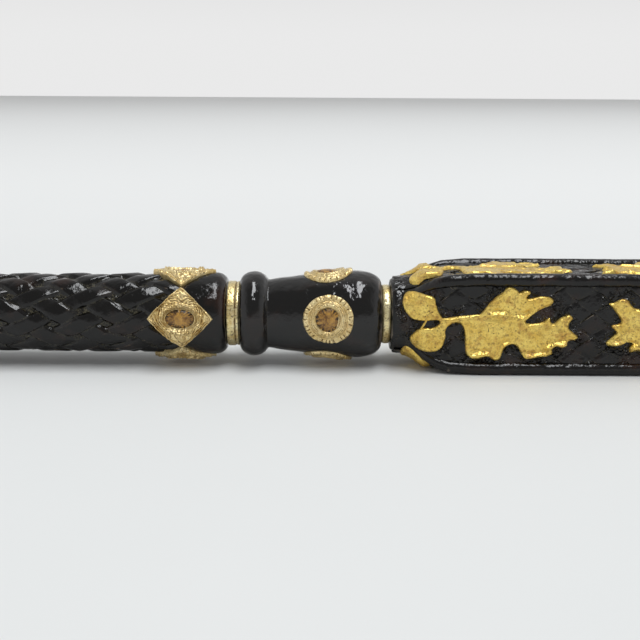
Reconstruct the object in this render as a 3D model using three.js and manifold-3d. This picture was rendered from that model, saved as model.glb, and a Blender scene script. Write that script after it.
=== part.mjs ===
// A carved walking stick, lying along X with its grip towards +X, in millimetres, +Z up.
// The origin is under the middle of the stick, on the surface that it lies on.
// In use the pommel is the top and the ferrule is the foot, so lower means towards -X.

import * as THREE from 'three';
import { mergeVertices } from 'three/addons/utils/BufferGeometryUtils.js';
import Module from 'manifold-3d';

const wasm = await Module();
wasm.setup();

// Driving dimensions of the whole stick
const overallLength = 900;
const jointGap = 0.1;
const seatGap = 0.3;
const cutOverrun = 2;
const simplifyReach = 0.02;
const weldDistance = 0.0003;
const faceCount = 4;
const ornamentTurnDegrees = -4;
const turnedSides = 32;
const wedgeSteps = 6;
const wedgeInnerShare = 0.7;
const wedgeOuterShare = 1.5;

// Square grip with a raised round bead on each edge and sunk panels between them
const gripLength = 107;
const gripSide = 27.8;
const gripNeckDiameter = 20.6;
const gripShoulderLength = 22;
const edgeBeadRadius = 2;
const edgeBeadWidth = 3.4;
const panelDepth = 1.5;
const cornerSteps = 5;

// Gilt leaf sprays that lie on the panels, two to a face, tip to tip
const sprayStart = 2.7;
const sprayTipGap = 7.8;

// Gilt rings between the sections
const lowerRingDiameter = 18.1;
const lowerRingWidth = 2.4;
const upperRingDiameter = 16.5;
const upperRingWidth = 2.3;
const pommelRingDiameter = 17.6;
const ringSides = 24;
const ringEase = 0.3;
const ringCrown = 0.7;

// Barrel between the lower and upper rings, with a bead at its lower end
const barrelLength = 40.1;
const barrelDiameter = 24.3;

// Shaft
const shaftDiameter = 22.3;
const shaftHeadDiameter = 22.9;
const shaftHeadRound = 2.8;
const shaftFootDiameter = 17.2;
const spigotDiameter = 15.4;

// Braid carved round the upper part of the shaft, and the turned bead that it ends on
const braidLength = 305.5;
const braidFromLozenges = 12.3;
const braidStep = 7.1;
const braidStrands = 8;
const braidTurnDegrees = -8;
const braidLean = 2.4;
const braidLeanDegrees = 14.5;
const braidOverrun = 1;
const strandShare = 0.33;
const strandReach = 0.08;
const strandDip = 0.45;
const pitDepth = 1.35;
const stopBeadWidth = 5;
const stopBeadGroove = 0.9;

// Lozenge settings round the shaft's head, each with an oval stone
const lozengeLength = 17.7;
const lozengeArc = 17.4;
const lozengeProud = 1.1;
const lozengeDepth = 1.3;
const lozengeFromHead = 12;
const ovalRimLength = 11.5;
const ovalRimWidth = 8.3;
const ovalRimHeight = 0.5;
const ovalStoneLength = 8.6;
const ovalStoneWidth = 5.5;

// Round settings on the barrel, each with a round stone
const roundSettingDiameter = 13.8;
const roundSettingProud = 0.8;
const roundSettingDepth = 1.5;
const roundSettingStation = 25.3;
const roundStoneDiameter = 6.4;
const settingSides = 20;

// Stones
const settingFloor = 0.7;
const stoneGirdle = 0.6;
const stoneHeight = 1.8;
const stoneSides = 16;
const stoneSteps = 3;

// Steel rod through shaft, barrel and grip, and the stud that holds the pommel
const rodDiameter = 8;
const rodInShaft = 45;
const rodInGrip = 42;
const studDiameter = 6;
const studInGrip = 24;
const studInPommel = 18;
const boreClearance = 0.3;
const boreSides = 24;

// Pommel with a round setting and stone in its end
const pommelLength = 34;
const pommelDiameter = 26.6;
const capDiameter = 14;
const capDepth = 2;
const capProud = 1.2;
const capEase = 0.5;
const capStoneDiameter = 7.6;
const capStoneProud = 0.6;

// Foot of the stick: brass collar and its pin, rubber ferrule and the steel washer inside it
const collarLength = 13;
const collarWall = 1;
const pinDiameter = 2;
const pinLength = 5;
const pinHeadDiameter = 3.4;
const pinHeadHeight = 0.6;
const ferruleLength = 42;
const ferruleTopDiameter = 20.6;
const ferruleFloor = 9;
const ferruleRibHeight = 0.8;
const ferruleRibWidth = 2.4;
const ferruleSides = 24;
const washerThickness = 1.5;

// Radius of the turned sections as shares of the piece's length and greatest radius
const barrelShares = [
  [0, 0.745], [0.03, 0.78], [0.06, 0.9], [0.12, 0.968], [0.18, 0.9], [0.215, 0.787], [0.32, 0.838],
  [0.5, 0.907], [0.66, 0.958], [0.81, 1], [0.9, 0.95], [0.95, 0.865], [1, 0.672],
];
const pommelShares = [
  [0, 0.69], [0.04, 0.76], [0.1, 0.775], [0.16, 0.75], [0.24, 0.77], [0.38, 0.865],
  [0.54, 0.96], [0.68, 1], [0.8, 0.975], [0.9, 0.89], [0.96, 0.79], [1, 0.67],
];
// Along the shoulder: place, rise from neck to full side, and how round the corners still are
const shoulderShares = [
  [0, 0, 1], [0.18, 0.08, 1], [0.28, 0.28, 0.9], [0.39, 0.58, 0.55],
  [0.53, 0.82, 0.25], [0.7, 0.94, 0.08], [1, 1, 0],
];
// Rubber ferrule from its ground face up: height and how far from top to base radius
const ferruleBaseShares = [[0, 0.93], [0.03, 1], [0.14, 1], [0.2, 0.8], [0.3, 0.42], [0.42, 0.18]];
const ferruleTopShares = [[0.97, 0.04], [1, -0.1]];
const ferruleRibShares = [0.54, 0.68, 0.82];
const ferruleWaistShare = 0.06;

// Outline of a spray, as shares of its length and half width: from the leaf's lower edge round
// the two acorns and along the stem to the leaf's upper edge
const stemAndAcornShares = [
  [0.682, -0.75], [0.657, -0.55], [0.623, -0.49], [0.588, -0.58], [0.571, -0.76], [0.559, -0.9],
  [0.529, -0.93], [0.484, -0.82], [0.431, -0.9], [0.386, -0.85], [0.362, -0.7], [0.356, -0.34],
  [0.348, -0.09], [0.322, 0.04], [0.29, 0.04], [0.256, -0.05], [0.243, -0.17], [0.245, -0.34],
  [0.226, -0.59], [0.192, -0.7], [0.136, -0.72], [0.081, -0.65], [0.045, -0.44], [0.066, -0.25],
  [0.111, -0.1], [0.162, -0.1], [0.2, -0.02], [0.211, 0.06], [0.192, 0.12], [0.136, 0.1],
  [0.064, 0.11], [0.021, 0.27], [0, 0.51], [0.021, 0.72], [0.064, 0.78], [0.132, 0.75],
  [0.175, 0.69], [0.186, 0.51], [0.198, 0.36], [0.22, 0.2], [0.241, 0.17], [0.32, 0.23],
  [0.412, 0.27], [0.444, 0.31], [0.488, 0.57], [0.52, 0.72],
];
// The rest of the leaf that points up the stick from the grip's lower end
const lowerLeafShares = [
  [0.563, 0.87], [0.582, 0.98], [0.614, 0.99], [0.64, 0.92], [0.657, 0.85], [0.682, 0.9],
  [0.712, 0.89], [0.719, 0.83], [0.699, 0.74], [0.708, 0.69], [0.768, 0.75], [0.823, 0.74],
  [0.851, 0.65], [0.84, 0.53], [0.793, 0.44], [0.733, 0.28], [0.701, 0.14], [0.708, 0.05],
  [0.753, 0.05], [0.797, 0.09], [0.834, 0.21], [0.84, 0.1], [0.861, 0.05], [0.891, 0.18],
  [0.923, 0.25], [0.947, 0.28], [0.966, 0.18], [0.949, 0.05], [0.947, -0.08], [0.974, -0.19],
  [1, -0.3], [0.985, -0.39], [0.949, -0.41], [0.938, -0.54], [0.913, -0.59], [0.878, -0.54],
  [0.859, -0.63], [0.859, -0.75], [0.832, -0.8], [0.774, -0.83], [0.712, -0.88],
];
// The rest of the leaf that points down the stick from the grip's upper end
const upperLeafShares = [
  [0.559, 0.87], [0.584, 0.98], [0.618, 0.89], [0.644, 0.82], [0.674, 0.91], [0.721, 0.86],
  [0.746, 0.67], [0.742, 0.44], [0.776, 0.38], [0.821, 0.44], [0.855, 0.47], [0.878, 0.57],
  [0.896, 0.68], [0.93, 0.7], [0.974, 0.6], [1, 0.57], [0.979, 0.47], [0.934, 0.21],
  [0.923, 0.1], [0.94, 0.05], [0.974, 0.01], [0.97, -0.06], [0.945, -0.18], [0.962, -0.27],
  [1, -0.43], [0.991, -0.52], [0.951, -0.54], [0.923, -0.51], [0.885, -0.44], [0.855, -0.44],
  [0.849, -0.48], [0.866, -0.58], [0.861, -0.69], [0.821, -0.67], [0.78, -0.7], [0.746, -0.85],
  [0.704, -0.9],
];

// Stations along the stick, worked out from the pommel's end
const capFront = overallLength / 2 - capStoneProud;
const pommelEnd = capFront - capProud;
const pommelStart = pommelEnd - pommelLength;
const pommelRingStart = pommelStart - jointGap - upperRingWidth;
const gripEnd = pommelRingStart - jointGap;
const gripStart = gripEnd - gripLength;
const upperRingStart = gripStart - jointGap - upperRingWidth;
const barrelEnd = upperRingStart - jointGap;
const barrelStart = barrelEnd - barrelLength;
const lowerRingStart = barrelStart - jointGap - lowerRingWidth;
const shaftEnd = lowerRingStart - jointGap;
const ferruleStart = -overallLength / 2;
const washerStart = ferruleStart + ferruleFloor + jointGap;
const shaftStart = washerStart + washerThickness + jointGap;
const ferruleEnd = ferruleStart + ferruleLength;
const collarStart = ferruleEnd + seatGap;
const spigotEnd = collarStart + collarLength + seatGap;
const lozengeCentre = shaftEnd - lozengeFromHead;
const roundSettingCentre = barrelStart + roundSettingStation;
const gripMiddle = (gripStart + gripEnd) / 2;

const ornamentTurn = THREE.MathUtils.degToRad(ornamentTurnDegrees);
const quarterTurn = Math.PI / 2;

// Materials
const lacquer = new THREE.MeshStandardMaterial({ color: 0x171513, roughness: 0.28, metalness: 0 });
const yellowGilt = new THREE.MeshStandardMaterial({ color: 0xd9b24c, roughness: 0.38, metalness: 0.7 });
const paleGilt = new THREE.MeshStandardMaterial({ color: 0xc9b27c, roughness: 0.45, metalness: 0.7 });
const amber = new THREE.MeshStandardMaterial({ color: 0x9a6c1f, roughness: 0.2, metalness: 0 });
const steel = new THREE.MeshStandardMaterial({ color: 0x9fa2a4, roughness: 0.35, metalness: 1 });
const brass = new THREE.MeshStandardMaterial({ color: 0xb08d46, roughness: 0.4, metalness: 1 });
const rubber = new THREE.MeshStandardMaterial({ color: 0x1b1b1c, roughness: 0.85, metalness: 0 });

// Everything hangs in this group, whose X axis is the stick's own axis
const stick = new THREE.Group();
stick.position.z = gripSide / 2;

// Turns a closed geometry into a solid that can be joined and cut
function toSolid(geometry) {
  const bare = geometry.clone();
  bare.deleteAttribute('normal');
  bare.deleteAttribute('uv');
  const merged = mergeVertices(bare, weldDistance);
  return new wasm.Manifold(new wasm.Mesh({
    numProp: 3,
    vertProperties: Float32Array.from(merged.attributes.position.array),
    triVerts: Uint32Array.from(merged.index.array),
  }));
}

// Turns a solid back into a geometry
function toGeometry(solid) {
  const mesh = solid.getMesh();
  const geometry = new THREE.BufferGeometry();
  geometry.setAttribute('position', new THREE.BufferAttribute(mesh.vertProperties, 3));
  geometry.setIndex(new THREE.BufferAttribute(mesh.triVerts, 1));
  geometry.computeVertexNormals();
  return geometry;
}

// Adds a named piece to the stick, turned about the stick's axis
function addPiece(name, geometry, material, turn = 0) {
  const mesh = new THREE.Mesh(geometry, material);
  mesh.name = name;
  mesh.rotation.x = turn;
  stick.add(mesh);
}

// A body turned about the stick's axis from places and radii, closed on the axis at both ends
function turned(profile, sides = turnedSides) {
  const points = profile.map(([x, radius]) => new THREE.Vector2(radius, x));
  points.unshift(new THREE.Vector2(0, points[0].y));
  points.push(new THREE.Vector2(0, points[points.length - 1].y));
  return new THREE.LatheGeometry(points, sides).rotateZ(-quarterTurn);
}

// A plain round bar along the stick's axis
function bar(start, end, diameter, sides = boreSides) {
  return new THREE.CylinderGeometry(diameter / 2, diameter / 2, end - start, sides)
    .rotateZ(-quarterTurn)
    .translate((start + end) / 2, 0, 0);
}

function bore(start, end, diameter) {
  return toSolid(bar(start, end, diameter + 2 * boreClearance));
}

// The profile moved outwards by some distance
function grown(profile, distance) {
  return profile.map(([x, radius]) => [x, radius + distance]);
}

// A wedge over an outline of places and arcs, whose walls all point at the stick's axis
function wedge(outline, surfaceRadius) {
  const innerRadius = surfaceRadius * wedgeInnerShare;
  const geometry = new THREE.ExtrudeGeometry(new THREE.Shape(outline), {
    depth: surfaceRadius * wedgeOuterShare - innerRadius,
    steps: wedgeSteps,
    bevelEnabled: false,
  });
  const position = geometry.attributes.position;
  for (let i = 0; i < position.count; i += 1) {
    const angle = position.getY(i) / surfaceRadius;
    const radius = innerRadius + position.getZ(i);
    position.setXYZ(i, position.getX(i), radius * Math.sin(angle), radius * Math.cos(angle));
  }
  return toSolid(geometry);
}

function ovalOutline(centre, length, width, count) {
  return new THREE.EllipseCurve(centre, 0, length / 2, width / 2).getPoints(count).slice(0, count);
}

// A lozenge whose sides are divided so that they can follow the round of the shaft
function lozengeOutline(centre, length, width, stepsPerSide) {
  const corners = [
    new THREE.Vector2(centre + length / 2, 0),
    new THREE.Vector2(centre, width / 2),
    new THREE.Vector2(centre - length / 2, 0),
    new THREE.Vector2(centre, -width / 2),
  ];
  return corners.flatMap((corner, i) => {
    const next = corners[(i + 1) % corners.length];
    return Array.from({ length: stepsPerSide }, (_, j) => corner.clone().lerp(next, j / stepsPerSide));
  });
}

// A flat-backed domed stone facing +Z, its back at the given height above the axis
function stone(centre, length, width, back) {
  const profile = Array.from({ length: stoneSteps + 1 }, (_, i) => {
    const angle = quarterTurn * i / stoneSteps;
    return new THREE.Vector2(Math.cos(angle), stoneGirdle + (stoneHeight - stoneGirdle) * Math.sin(angle));
  });
  profile[profile.length - 1].x = 0;
  profile.unshift(new THREE.Vector2(0, 0), new THREE.Vector2(1, 0));
  return new THREE.LatheGeometry(profile, stoneSides)
    .rotateX(quarterTurn)
    .scale(length / 2, width / 2, 1)
    .translate(centre, 0, back);
}

// A well for such a stone, open towards +Z
function stoneWell(centre, length, width, floor, top) {
  const well = new THREE.CylinderGeometry(1, 1, top - floor, stoneSides)
    .rotateX(quarterTurn)
    .scale(length / 2 + seatGap, width / 2 + seatGap, 1)
    .translate(centre, 0, (floor + top) / 2);
  return toSolid(well);
}

// The turn of each face, the first facing up
function faceTurn(i, firstTurn = 0) {
  return firstTurn + i * 2 * Math.PI / faceCount;
}

// A copy of a cutter for each face
function roundTheAxis(cutter, firstTurn = 0) {
  return Array.from({ length: faceCount }, (_, i) => (
    cutter.rotate([THREE.MathUtils.radToDeg(faceTurn(i, firstTurn)), 0, 0])
  ));
}

function subtractAll(solid, cutters) {
  return cutters.reduce((left, cutter) => left.subtract(cutter), solid);
}

// Radius of a turned profile at some place along the stick
function radiusAt(profile, x) {
  const next = profile.findIndex((point) => point[0] >= x);
  const [x0, r0] = profile[next - 1];
  const [x1, r1] = profile[next];
  return THREE.MathUtils.mapLinear(x, x0, x1, r0, r1);
}

// Adds a setting and its stone on every face
function addOrnaments(name, settingSolid, stoneGeometry) {
  const settingGeometry = toGeometry(settingSolid);
  for (let i = 0; i < faceCount; i += 1) {
    addPiece(`${name}_setting_${i + 1}`, settingGeometry, paleGilt, faceTurn(i, ornamentTurn));
    addPiece(`${name}_stone_${i + 1}`, stoneGeometry, amber, faceTurn(i, ornamentTurn));
  }
}

// Shaft: a plain taper with a spigot for the collar and ferrule, a braided part above a turned
// bead, and a head with pockets for four lozenges
const headRadius = shaftHeadDiameter / 2;
const spigotRadius = spigotDiameter / 2;
const braidStart = lozengeCentre - braidLength;

function taperRadius(x) {
  const taperEnd = lozengeCentre - lozengeLength / 2;
  return THREE.MathUtils.mapLinear(x, spigotEnd, taperEnd, shaftFootDiameter / 2, shaftDiameter / 2);
}

const plainProfile = [
  [shaftStart, spigotRadius],
  [spigotEnd, spigotRadius],
  [spigotEnd, shaftFootDiameter / 2],
  [braidStart - 1.6 * stopBeadWidth, taperRadius(braidStart - 1.6 * stopBeadWidth)],
  [braidStart - 1.1 * stopBeadWidth, taperRadius(braidStart) - stopBeadGroove],
  [braidStart - 0.9 * stopBeadWidth, taperRadius(braidStart) - stopBeadGroove / 3],
  [braidStart - 0.55 * stopBeadWidth, taperRadius(braidStart)],
  [braidStart - 0.2 * stopBeadWidth, taperRadius(braidStart) - stopBeadGroove / 3],
  [braidStart, taperRadius(braidStart) - stopBeadGroove],
  [braidStart + braidOverrun, taperRadius(braidStart) - 2 * pitDepth],
];
const headProfile = [
  [lozengeCentre - braidOverrun, shaftDiameter / 2 - 2 * pitDepth],
  [lozengeCentre, (shaftDiameter / 2 + headRadius) / 2],
  [shaftEnd - shaftHeadRound, headRadius],
  [shaftEnd - shaftHeadRound / 2, headRadius - shaftHeadRound / 6],
  [shaftEnd - shaftHeadRound / 6, headRadius - shaftHeadRound / 2],
  [shaftEnd, lowerRingDiameter / 2],
];
const lozengeOuterRadius = shaftDiameter / 2 + lozengeProud;
const lozengeInnerRadius = shaftDiameter / 2 - lozengeDepth;
const lozengeSteps = 4;

function lozengeWedge(growth) {
  const length = lozengeLength + growth;
  const arc = lozengeArc + growth;
  return wedge(lozengeOutline(lozengeCentre, length, arc, lozengeSteps), lozengeOuterRadius);
}

function headBand(radius) {
  const start = lozengeCentre - lozengeLength;
  const end = lozengeCentre + lozengeLength;
  return toSolid(bar(start, end, 2 * radius, turnedSides));
}

// One point of the braid, by its places on the rising and on the falling strands
function braidPoint(rising, falling, depth) {
  const turn = THREE.MathUtils.degToRad(braidTurnDegrees) + (rising - falling) * Math.PI / braidStrands;
  const straight = lozengeCentre - braidFromLozenges + (rising + falling) * braidStep;
  const x = straight + braidLean * Math.sin(turn - THREE.MathUtils.degToRad(braidLeanDegrees));
  const radius = taperRadius(straight) - depth;
  return new THREE.Vector3(x, -radius * Math.cos(turn), radius * Math.sin(turn));
}

// The braided part. Its skin is a grid whose lines run along the edges of the strands and down the
// middle of the gaps, so each crossing has a flat pad, drawn out along the strand that lies on top,
// and each gap a pointed pit. The grid is wound round the stick and closed at its ends.
function braidedBar() {
  const places = [-strandShare, strandShare, 0.5];
  const cellsAbove = Math.ceil((braidFromLozenges + braidOverrun + braidLean) / braidStep);
  const cellsBelow = Math.ceil((braidLength + braidOverrun + braidLean) / braidStep);
  const columns = (cellsAbove + cellsBelow + braidStrands) * places.length;
  const rows = braidStrands * places.length;
  const points = [];
  for (let row = 0; row <= rows; row += 1) {
    for (let column = 0; column <= columns; column += 1) {
      const risingPlace = places[column % places.length];
      const fallingPlace = places[row % places.length];
      const risingCell = Math.floor(column / places.length) - cellsBelow - braidStrands;
      const fallingCell = Math.floor(row / places.length);
      const risingOnTop = (risingCell + fallingCell) % 2 === 0;
      const inGaps = (risingPlace === 0.5 ? 1 : 0) + (fallingPlace === 0.5 ? 1 : 0);
      const risingReach = inGaps === 0 && risingOnTop ? Math.sign(risingPlace) * strandReach : 0;
      const fallingReach = inGaps === 0 && !risingOnTop ? Math.sign(fallingPlace) * strandReach : 0;
      points.push(braidPoint(
        risingCell + risingPlace + risingReach,
        fallingCell + fallingPlace + fallingReach,
        [0, strandDip, pitDepth][inGaps],
      ));
    }
  }
  const at = (row, column) => row * (columns + 1) + column;
  const indices = [];
  for (let row = 0; row < rows; row += 1) {
    for (let column = 0; column < columns; column += 1) {
      const [a, b] = [at(row, column), at(row, column + 1)];
      const [c, d] = [at(row + 1, column), at(row + 1, column + 1)];
      indices.push(a, c, b, b, c, d);
    }
  }
  const lowerRim = [];
  const upperRim = [];
  for (let row = 0; row <= rows; row += 1) {
    lowerRim.push(at(row, 0));
    upperRim.push(at(row, columns));
  }
  for (let column = rows - 1; column > 0; column -= 1) {
    lowerRim.push(at(0, column));
    upperRim.push(at(rows, columns - rows + column));
  }
  const lowerMiddle = points.push(new THREE.Vector3(points[at(0, rows)].x, 0, 0)) - 1;
  const upperMiddle = points.push(new THREE.Vector3(points[at(0, columns - rows)].x, 0, 0)) - 1;
  lowerRim.forEach((a, i) => indices.push(lowerMiddle, lowerRim[(i + 1) % lowerRim.length], a));
  upperRim.forEach((a, i) => indices.push(upperMiddle, a, upperRim[(i + 1) % upperRim.length]));
  const geometry = new THREE.BufferGeometry().setFromPoints(points);
  geometry.setIndex(indices);
  return geometry;
}

function addShaft() {
  const pocket = lozengeWedge(2 * seatGap).subtract(headBand(lozengeInnerRadius - seatGap));
  const pinHole = pinBar(pinDiameter + 2 * boreClearance, spigotRadius - pinLength - jointGap, shaftDiameter);
  const rodHole = bore(shaftEnd - rodInShaft - jointGap, shaftEnd + cutOverrun, rodDiameter);
  const braidSpan = toSolid(bar(braidStart, lozengeCentre, shaftHeadDiameter + cutOverrun));
  const braid = toSolid(braidedBar()).intersect(braidSpan);
  const whole = toSolid(turned(plainProfile)).add(braid).add(toSolid(turned(headProfile)));
  const solid = subtractAll(whole, [
    ...roundTheAxis(pocket, ornamentTurn),
    rodHole,
    toSolid(pinHole),
  ]);
  addPiece('shaft', toGeometry(solid.simplify(simplifyReach)), lacquer);
}

// Four lozenge settings that follow the round of the shaft, each with an oval rim and a stone
function addLozenges() {
  const rimOutline = ovalOutline(lozengeCentre, ovalRimLength, ovalRimWidth, settingSides);
  const rim = wedge(rimOutline, lozengeOuterRadius)
    .intersect(headBand(lozengeOuterRadius + ovalRimHeight));
  const bed = lozengeInnerRadius + settingFloor;
  const setting = lozengeWedge(0)
    .intersect(headBand(lozengeOuterRadius))
    .add(rim)
    .subtract(headBand(lozengeInnerRadius))
    .subtract(stoneWell(lozengeCentre, ovalStoneLength, ovalStoneWidth, bed, shaftDiameter));
  addOrnaments('lozenge', setting, stone(lozengeCentre, ovalStoneLength, ovalStoneWidth, bed + seatGap));
}

// A ring that a rod passes through, its edges eased by the crown
function addRing(name, start, width, diameter, crown, boreDiameter) {
  const radius = diameter / 2;
  const profile = [
    [start, radius - crown],
    [start + width / 6, radius - crown / 3],
    [start + width / 3, radius],
    [start + width - width / 3, radius],
    [start + width - width / 6, radius - crown / 3],
    [start + width, radius - crown],
  ];
  const solid = toSolid(turned(profile, ringSides))
    .subtract(bore(start - cutOverrun, start + width + cutOverrun, boreDiameter));
  addPiece(name, toGeometry(solid), paleGilt);
}

// Barrel with four round pockets
const barrelProfile = barrelShares.map(([along, out]) => [
  barrelStart + along * barrelLength,
  out * barrelDiameter / 2,
]);

function barrelWedge(diameter) {
  const outline = ovalOutline(roundSettingCentre, diameter, diameter, settingSides);
  return wedge(outline, barrelDiameter / 2);
}

function barrelBody(growth) {
  return toSolid(turned(grown(barrelProfile, growth)));
}

function addBarrel() {
  const pocket = barrelWedge(roundSettingDiameter + 2 * seatGap)
    .subtract(barrelBody(-roundSettingDepth - seatGap));
  const solid = subtractAll(barrelBody(0), [
    ...roundTheAxis(pocket, ornamentTurn),
    bore(barrelStart - cutOverrun, barrelEnd + cutOverrun, rodDiameter),
  ]);
  addPiece('barrel', toGeometry(solid), lacquer);
}

// Four round settings that follow the barrel, each with a stone
function addRoundSettings() {
  const bed = radiusAt(barrelProfile, roundSettingCentre) - roundSettingDepth + settingFloor;
  const setting = barrelWedge(roundSettingDiameter)
    .intersect(barrelBody(roundSettingProud))
    .subtract(barrelBody(-roundSettingDepth))
    .subtract(stoneWell(roundSettingCentre, roundStoneDiameter, roundStoneDiameter, bed, barrelDiameter));
  const stoneGeometry = stone(roundSettingCentre, roundStoneDiameter, roundStoneDiameter, bed + seatGap);
  addOrnaments('round', setting, stoneGeometry);
}

// A square with round corners, across the stick's axis
function roundedSquare(x, halfSide, cornerRadius) {
  const cornerAngle = 2 * Math.PI / faceCount;
  const reach = (halfSide - cornerRadius) / Math.cos(cornerAngle / 2);
  const points = [];
  for (let corner = 0; corner < faceCount; corner += 1) {
    const first = corner * cornerAngle;
    const middle = first + cornerAngle / 2;
    for (let step = 0; step <= cornerSteps; step += 1) {
      const angle = first + cornerAngle * step / cornerSteps;
      points.push(new THREE.Vector3(
        x,
        reach * Math.sin(middle) + cornerRadius * Math.sin(angle),
        reach * Math.cos(middle) + cornerRadius * Math.cos(angle),
      ));
    }
  }
  return points;
}

// A closed body through sections that all have as many points
function loft(sections) {
  const count = sections[0].length;
  const indices = [];
  for (let row = 0; row + 1 < sections.length; row += 1) {
    for (let i = 0; i < count; i += 1) {
      const a = row * count + i;
      const b = row * count + (i + 1) % count;
      indices.push(a, b + count, b, a, a + count, b + count);
    }
  }
  const last = (sections.length - 1) * count;
  for (let i = 1; i + 1 < count; i += 1) {
    indices.push(0, i, i + 1);
    indices.push(last, last + i + 1, last + i);
  }
  const geometry = new THREE.BufferGeometry().setFromPoints(sections.flat());
  geometry.setIndex(indices);
  return geometry;
}

// The grip's body. Its half side can be capped and then grown, which gives the surfaces that
// lie under and over the leaf sprays.
const gripHalf = gripSide / 2;
const neckRadius = gripNeckDiameter / 2;

function gripSection(x, rise, round, cap, growth) {
  const halfSide = Math.min(neckRadius + rise * (gripHalf - neckRadius), cap) + growth;
  const cornerRadius = edgeBeadRadius + round * (halfSide - seatGap - edgeBeadRadius);
  return roundedSquare(x, halfSide, cornerRadius);
}

function gripBody(cap, growth) {
  const lowerEnd = shoulderShares.map(([along, rise, round]) => (
    gripSection(gripStart + along * gripShoulderLength, rise, round, cap, growth)
  ));
  const upperEnd = shoulderShares.map(([along, rise, round]) => (
    gripSection(gripEnd - along * gripShoulderLength, rise, round, cap, growth)
  ));
  return toSolid(loft([...lowerEnd, ...upperEnd.reverse()]));
}

const groundHalf = gripHalf - panelDepth;
const panelWidth = gripSide - 2 * edgeBeadWidth;
const sprayLength = (gripLength - sprayTipGap) / 2 - sprayStart;

function addGrip() {
  const panelHeight = panelDepth + cutOverrun;
  const panel = toSolid(new THREE.BoxGeometry(gripLength, panelWidth, panelHeight)
    .translate(gripMiddle, 0, groundHalf + panelHeight / 2));
  const solid = subtractAll(gripBody(gripHalf, 0), [
    ...roundTheAxis(panel),
    bore(gripStart - cutOverrun, gripStart + rodInGrip + jointGap, rodDiameter),
    bore(gripEnd - studInGrip - jointGap, gripEnd + cutOverrun, studDiameter),
  ]);
  addPiece('grip', toGeometry(solid), lacquer);
}

// Eight leaf sprays: on each face one from the grip's lower end and one from its upper end
function sprayOutline(tipShares, placeAlong) {
  return [...stemAndAcornShares, ...tipShares].map(([along, across]) => (
    new THREE.Vector2(placeAlong(sprayStart + along * sprayLength), across * panelWidth / 2)
  ));
}

function sprayGeometry(outline) {
  const prism = new THREE.ExtrudeGeometry(new THREE.Shape(outline), { depth: gripSide, bevelEnabled: false });
  return toGeometry(toSolid(prism)
    .intersect(gripBody(groundHalf, panelDepth))
    .subtract(gripBody(groundHalf, seatGap)));
}

function addSprays() {
  const lower = sprayGeometry(sprayOutline(lowerLeafShares, (along) => gripStart + along));
  const upper = sprayGeometry(sprayOutline(upperLeafShares, (along) => gripEnd - along));
  for (let i = 0; i < faceCount; i += 1) {
    addPiece(`lower_leaf_spray_${i + 1}`, lower, yellowGilt, faceTurn(i));
    addPiece(`upper_leaf_spray_${i + 1}`, upper, yellowGilt, faceTurn(i));
  }
}

// Pommel, with a setting and a stone let into its end
const pommelProfile = pommelShares.map(([along, out]) => [
  pommelStart + along * pommelLength,
  out * pommelDiameter / 2,
]);

function addPommel() {
  const solid = subtractAll(toSolid(turned(pommelProfile)), [
    bore(pommelStart - cutOverrun, pommelStart + studInPommel + jointGap, studDiameter),
    bore(pommelEnd - capDepth - jointGap, pommelEnd + cutOverrun, capDiameter),
  ]);
  addPiece('pommel', toGeometry(solid), lacquer);
}

function addPommelCap() {
  const back = pommelEnd - capDepth;
  const stoneBack = capFront + capStoneProud - stoneHeight;
  const profile = [
    [back, capDiameter / 2],
    [capFront - capEase, capDiameter / 2],
    [capFront, capDiameter / 2 - capEase],
  ];
  const well = stoneWell(0, capStoneDiameter, capStoneDiameter, stoneBack - seatGap, capFront + cutOverrun);
  const setting = toSolid(turned(profile, ringSides)).subtract(well.rotate([0, 90, 0]));
  const cabochon = stone(0, capStoneDiameter, capStoneDiameter, stoneBack).rotateY(quarterTurn);
  addPiece('pommel_setting', toGeometry(setting), paleGilt);
  addPiece('pommel_stone', cabochon, amber);
}

// The rod that joins shaft, barrel and grip, and the pommel's stud
function addRods() {
  addPiece('centre_rod', bar(shaftEnd - rodInShaft, gripStart + rodInGrip, rodDiameter), steel);
  addPiece('pommel_stud', bar(gripEnd - studInGrip, pommelStart + studInPommel, studDiameter), steel);
}

// A bar across the collar, from an inner to an outer height above the axis
function pinBar(diameter, inner, outer) {
  return new THREE.CylinderGeometry(diameter / 2, diameter / 2, outer - inner, boreSides)
    .rotateX(quarterTurn)
    .translate(collarStart + collarLength / 2, 0, (inner + outer) / 2);
}

// Brass collar on the spigot, held by a pin with a flat head
function addCollar() {
  const radius = spigotRadius + boreClearance + collarWall;
  const end = collarStart + collarLength;
  const headBase = radius + jointGap;
  const pin = toSolid(pinBar(pinDiameter, spigotRadius - pinLength, headBase + pinHeadHeight / 2))
    .add(toSolid(pinBar(pinHeadDiameter, headBase, headBase + pinHeadHeight)));
  const collar = subtractAll(toSolid(turned([[collarStart, radius], [end, radius]])), [
    bore(collarStart - cutOverrun, end + cutOverrun, spigotDiameter),
    toSolid(pinBar(pinDiameter + 2 * boreClearance, 0, shaftDiameter)),
  ]);
  addPiece('tip_collar', toGeometry(collar), brass);
  addPiece('collar_pin', toGeometry(pin), brass);
}

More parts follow.
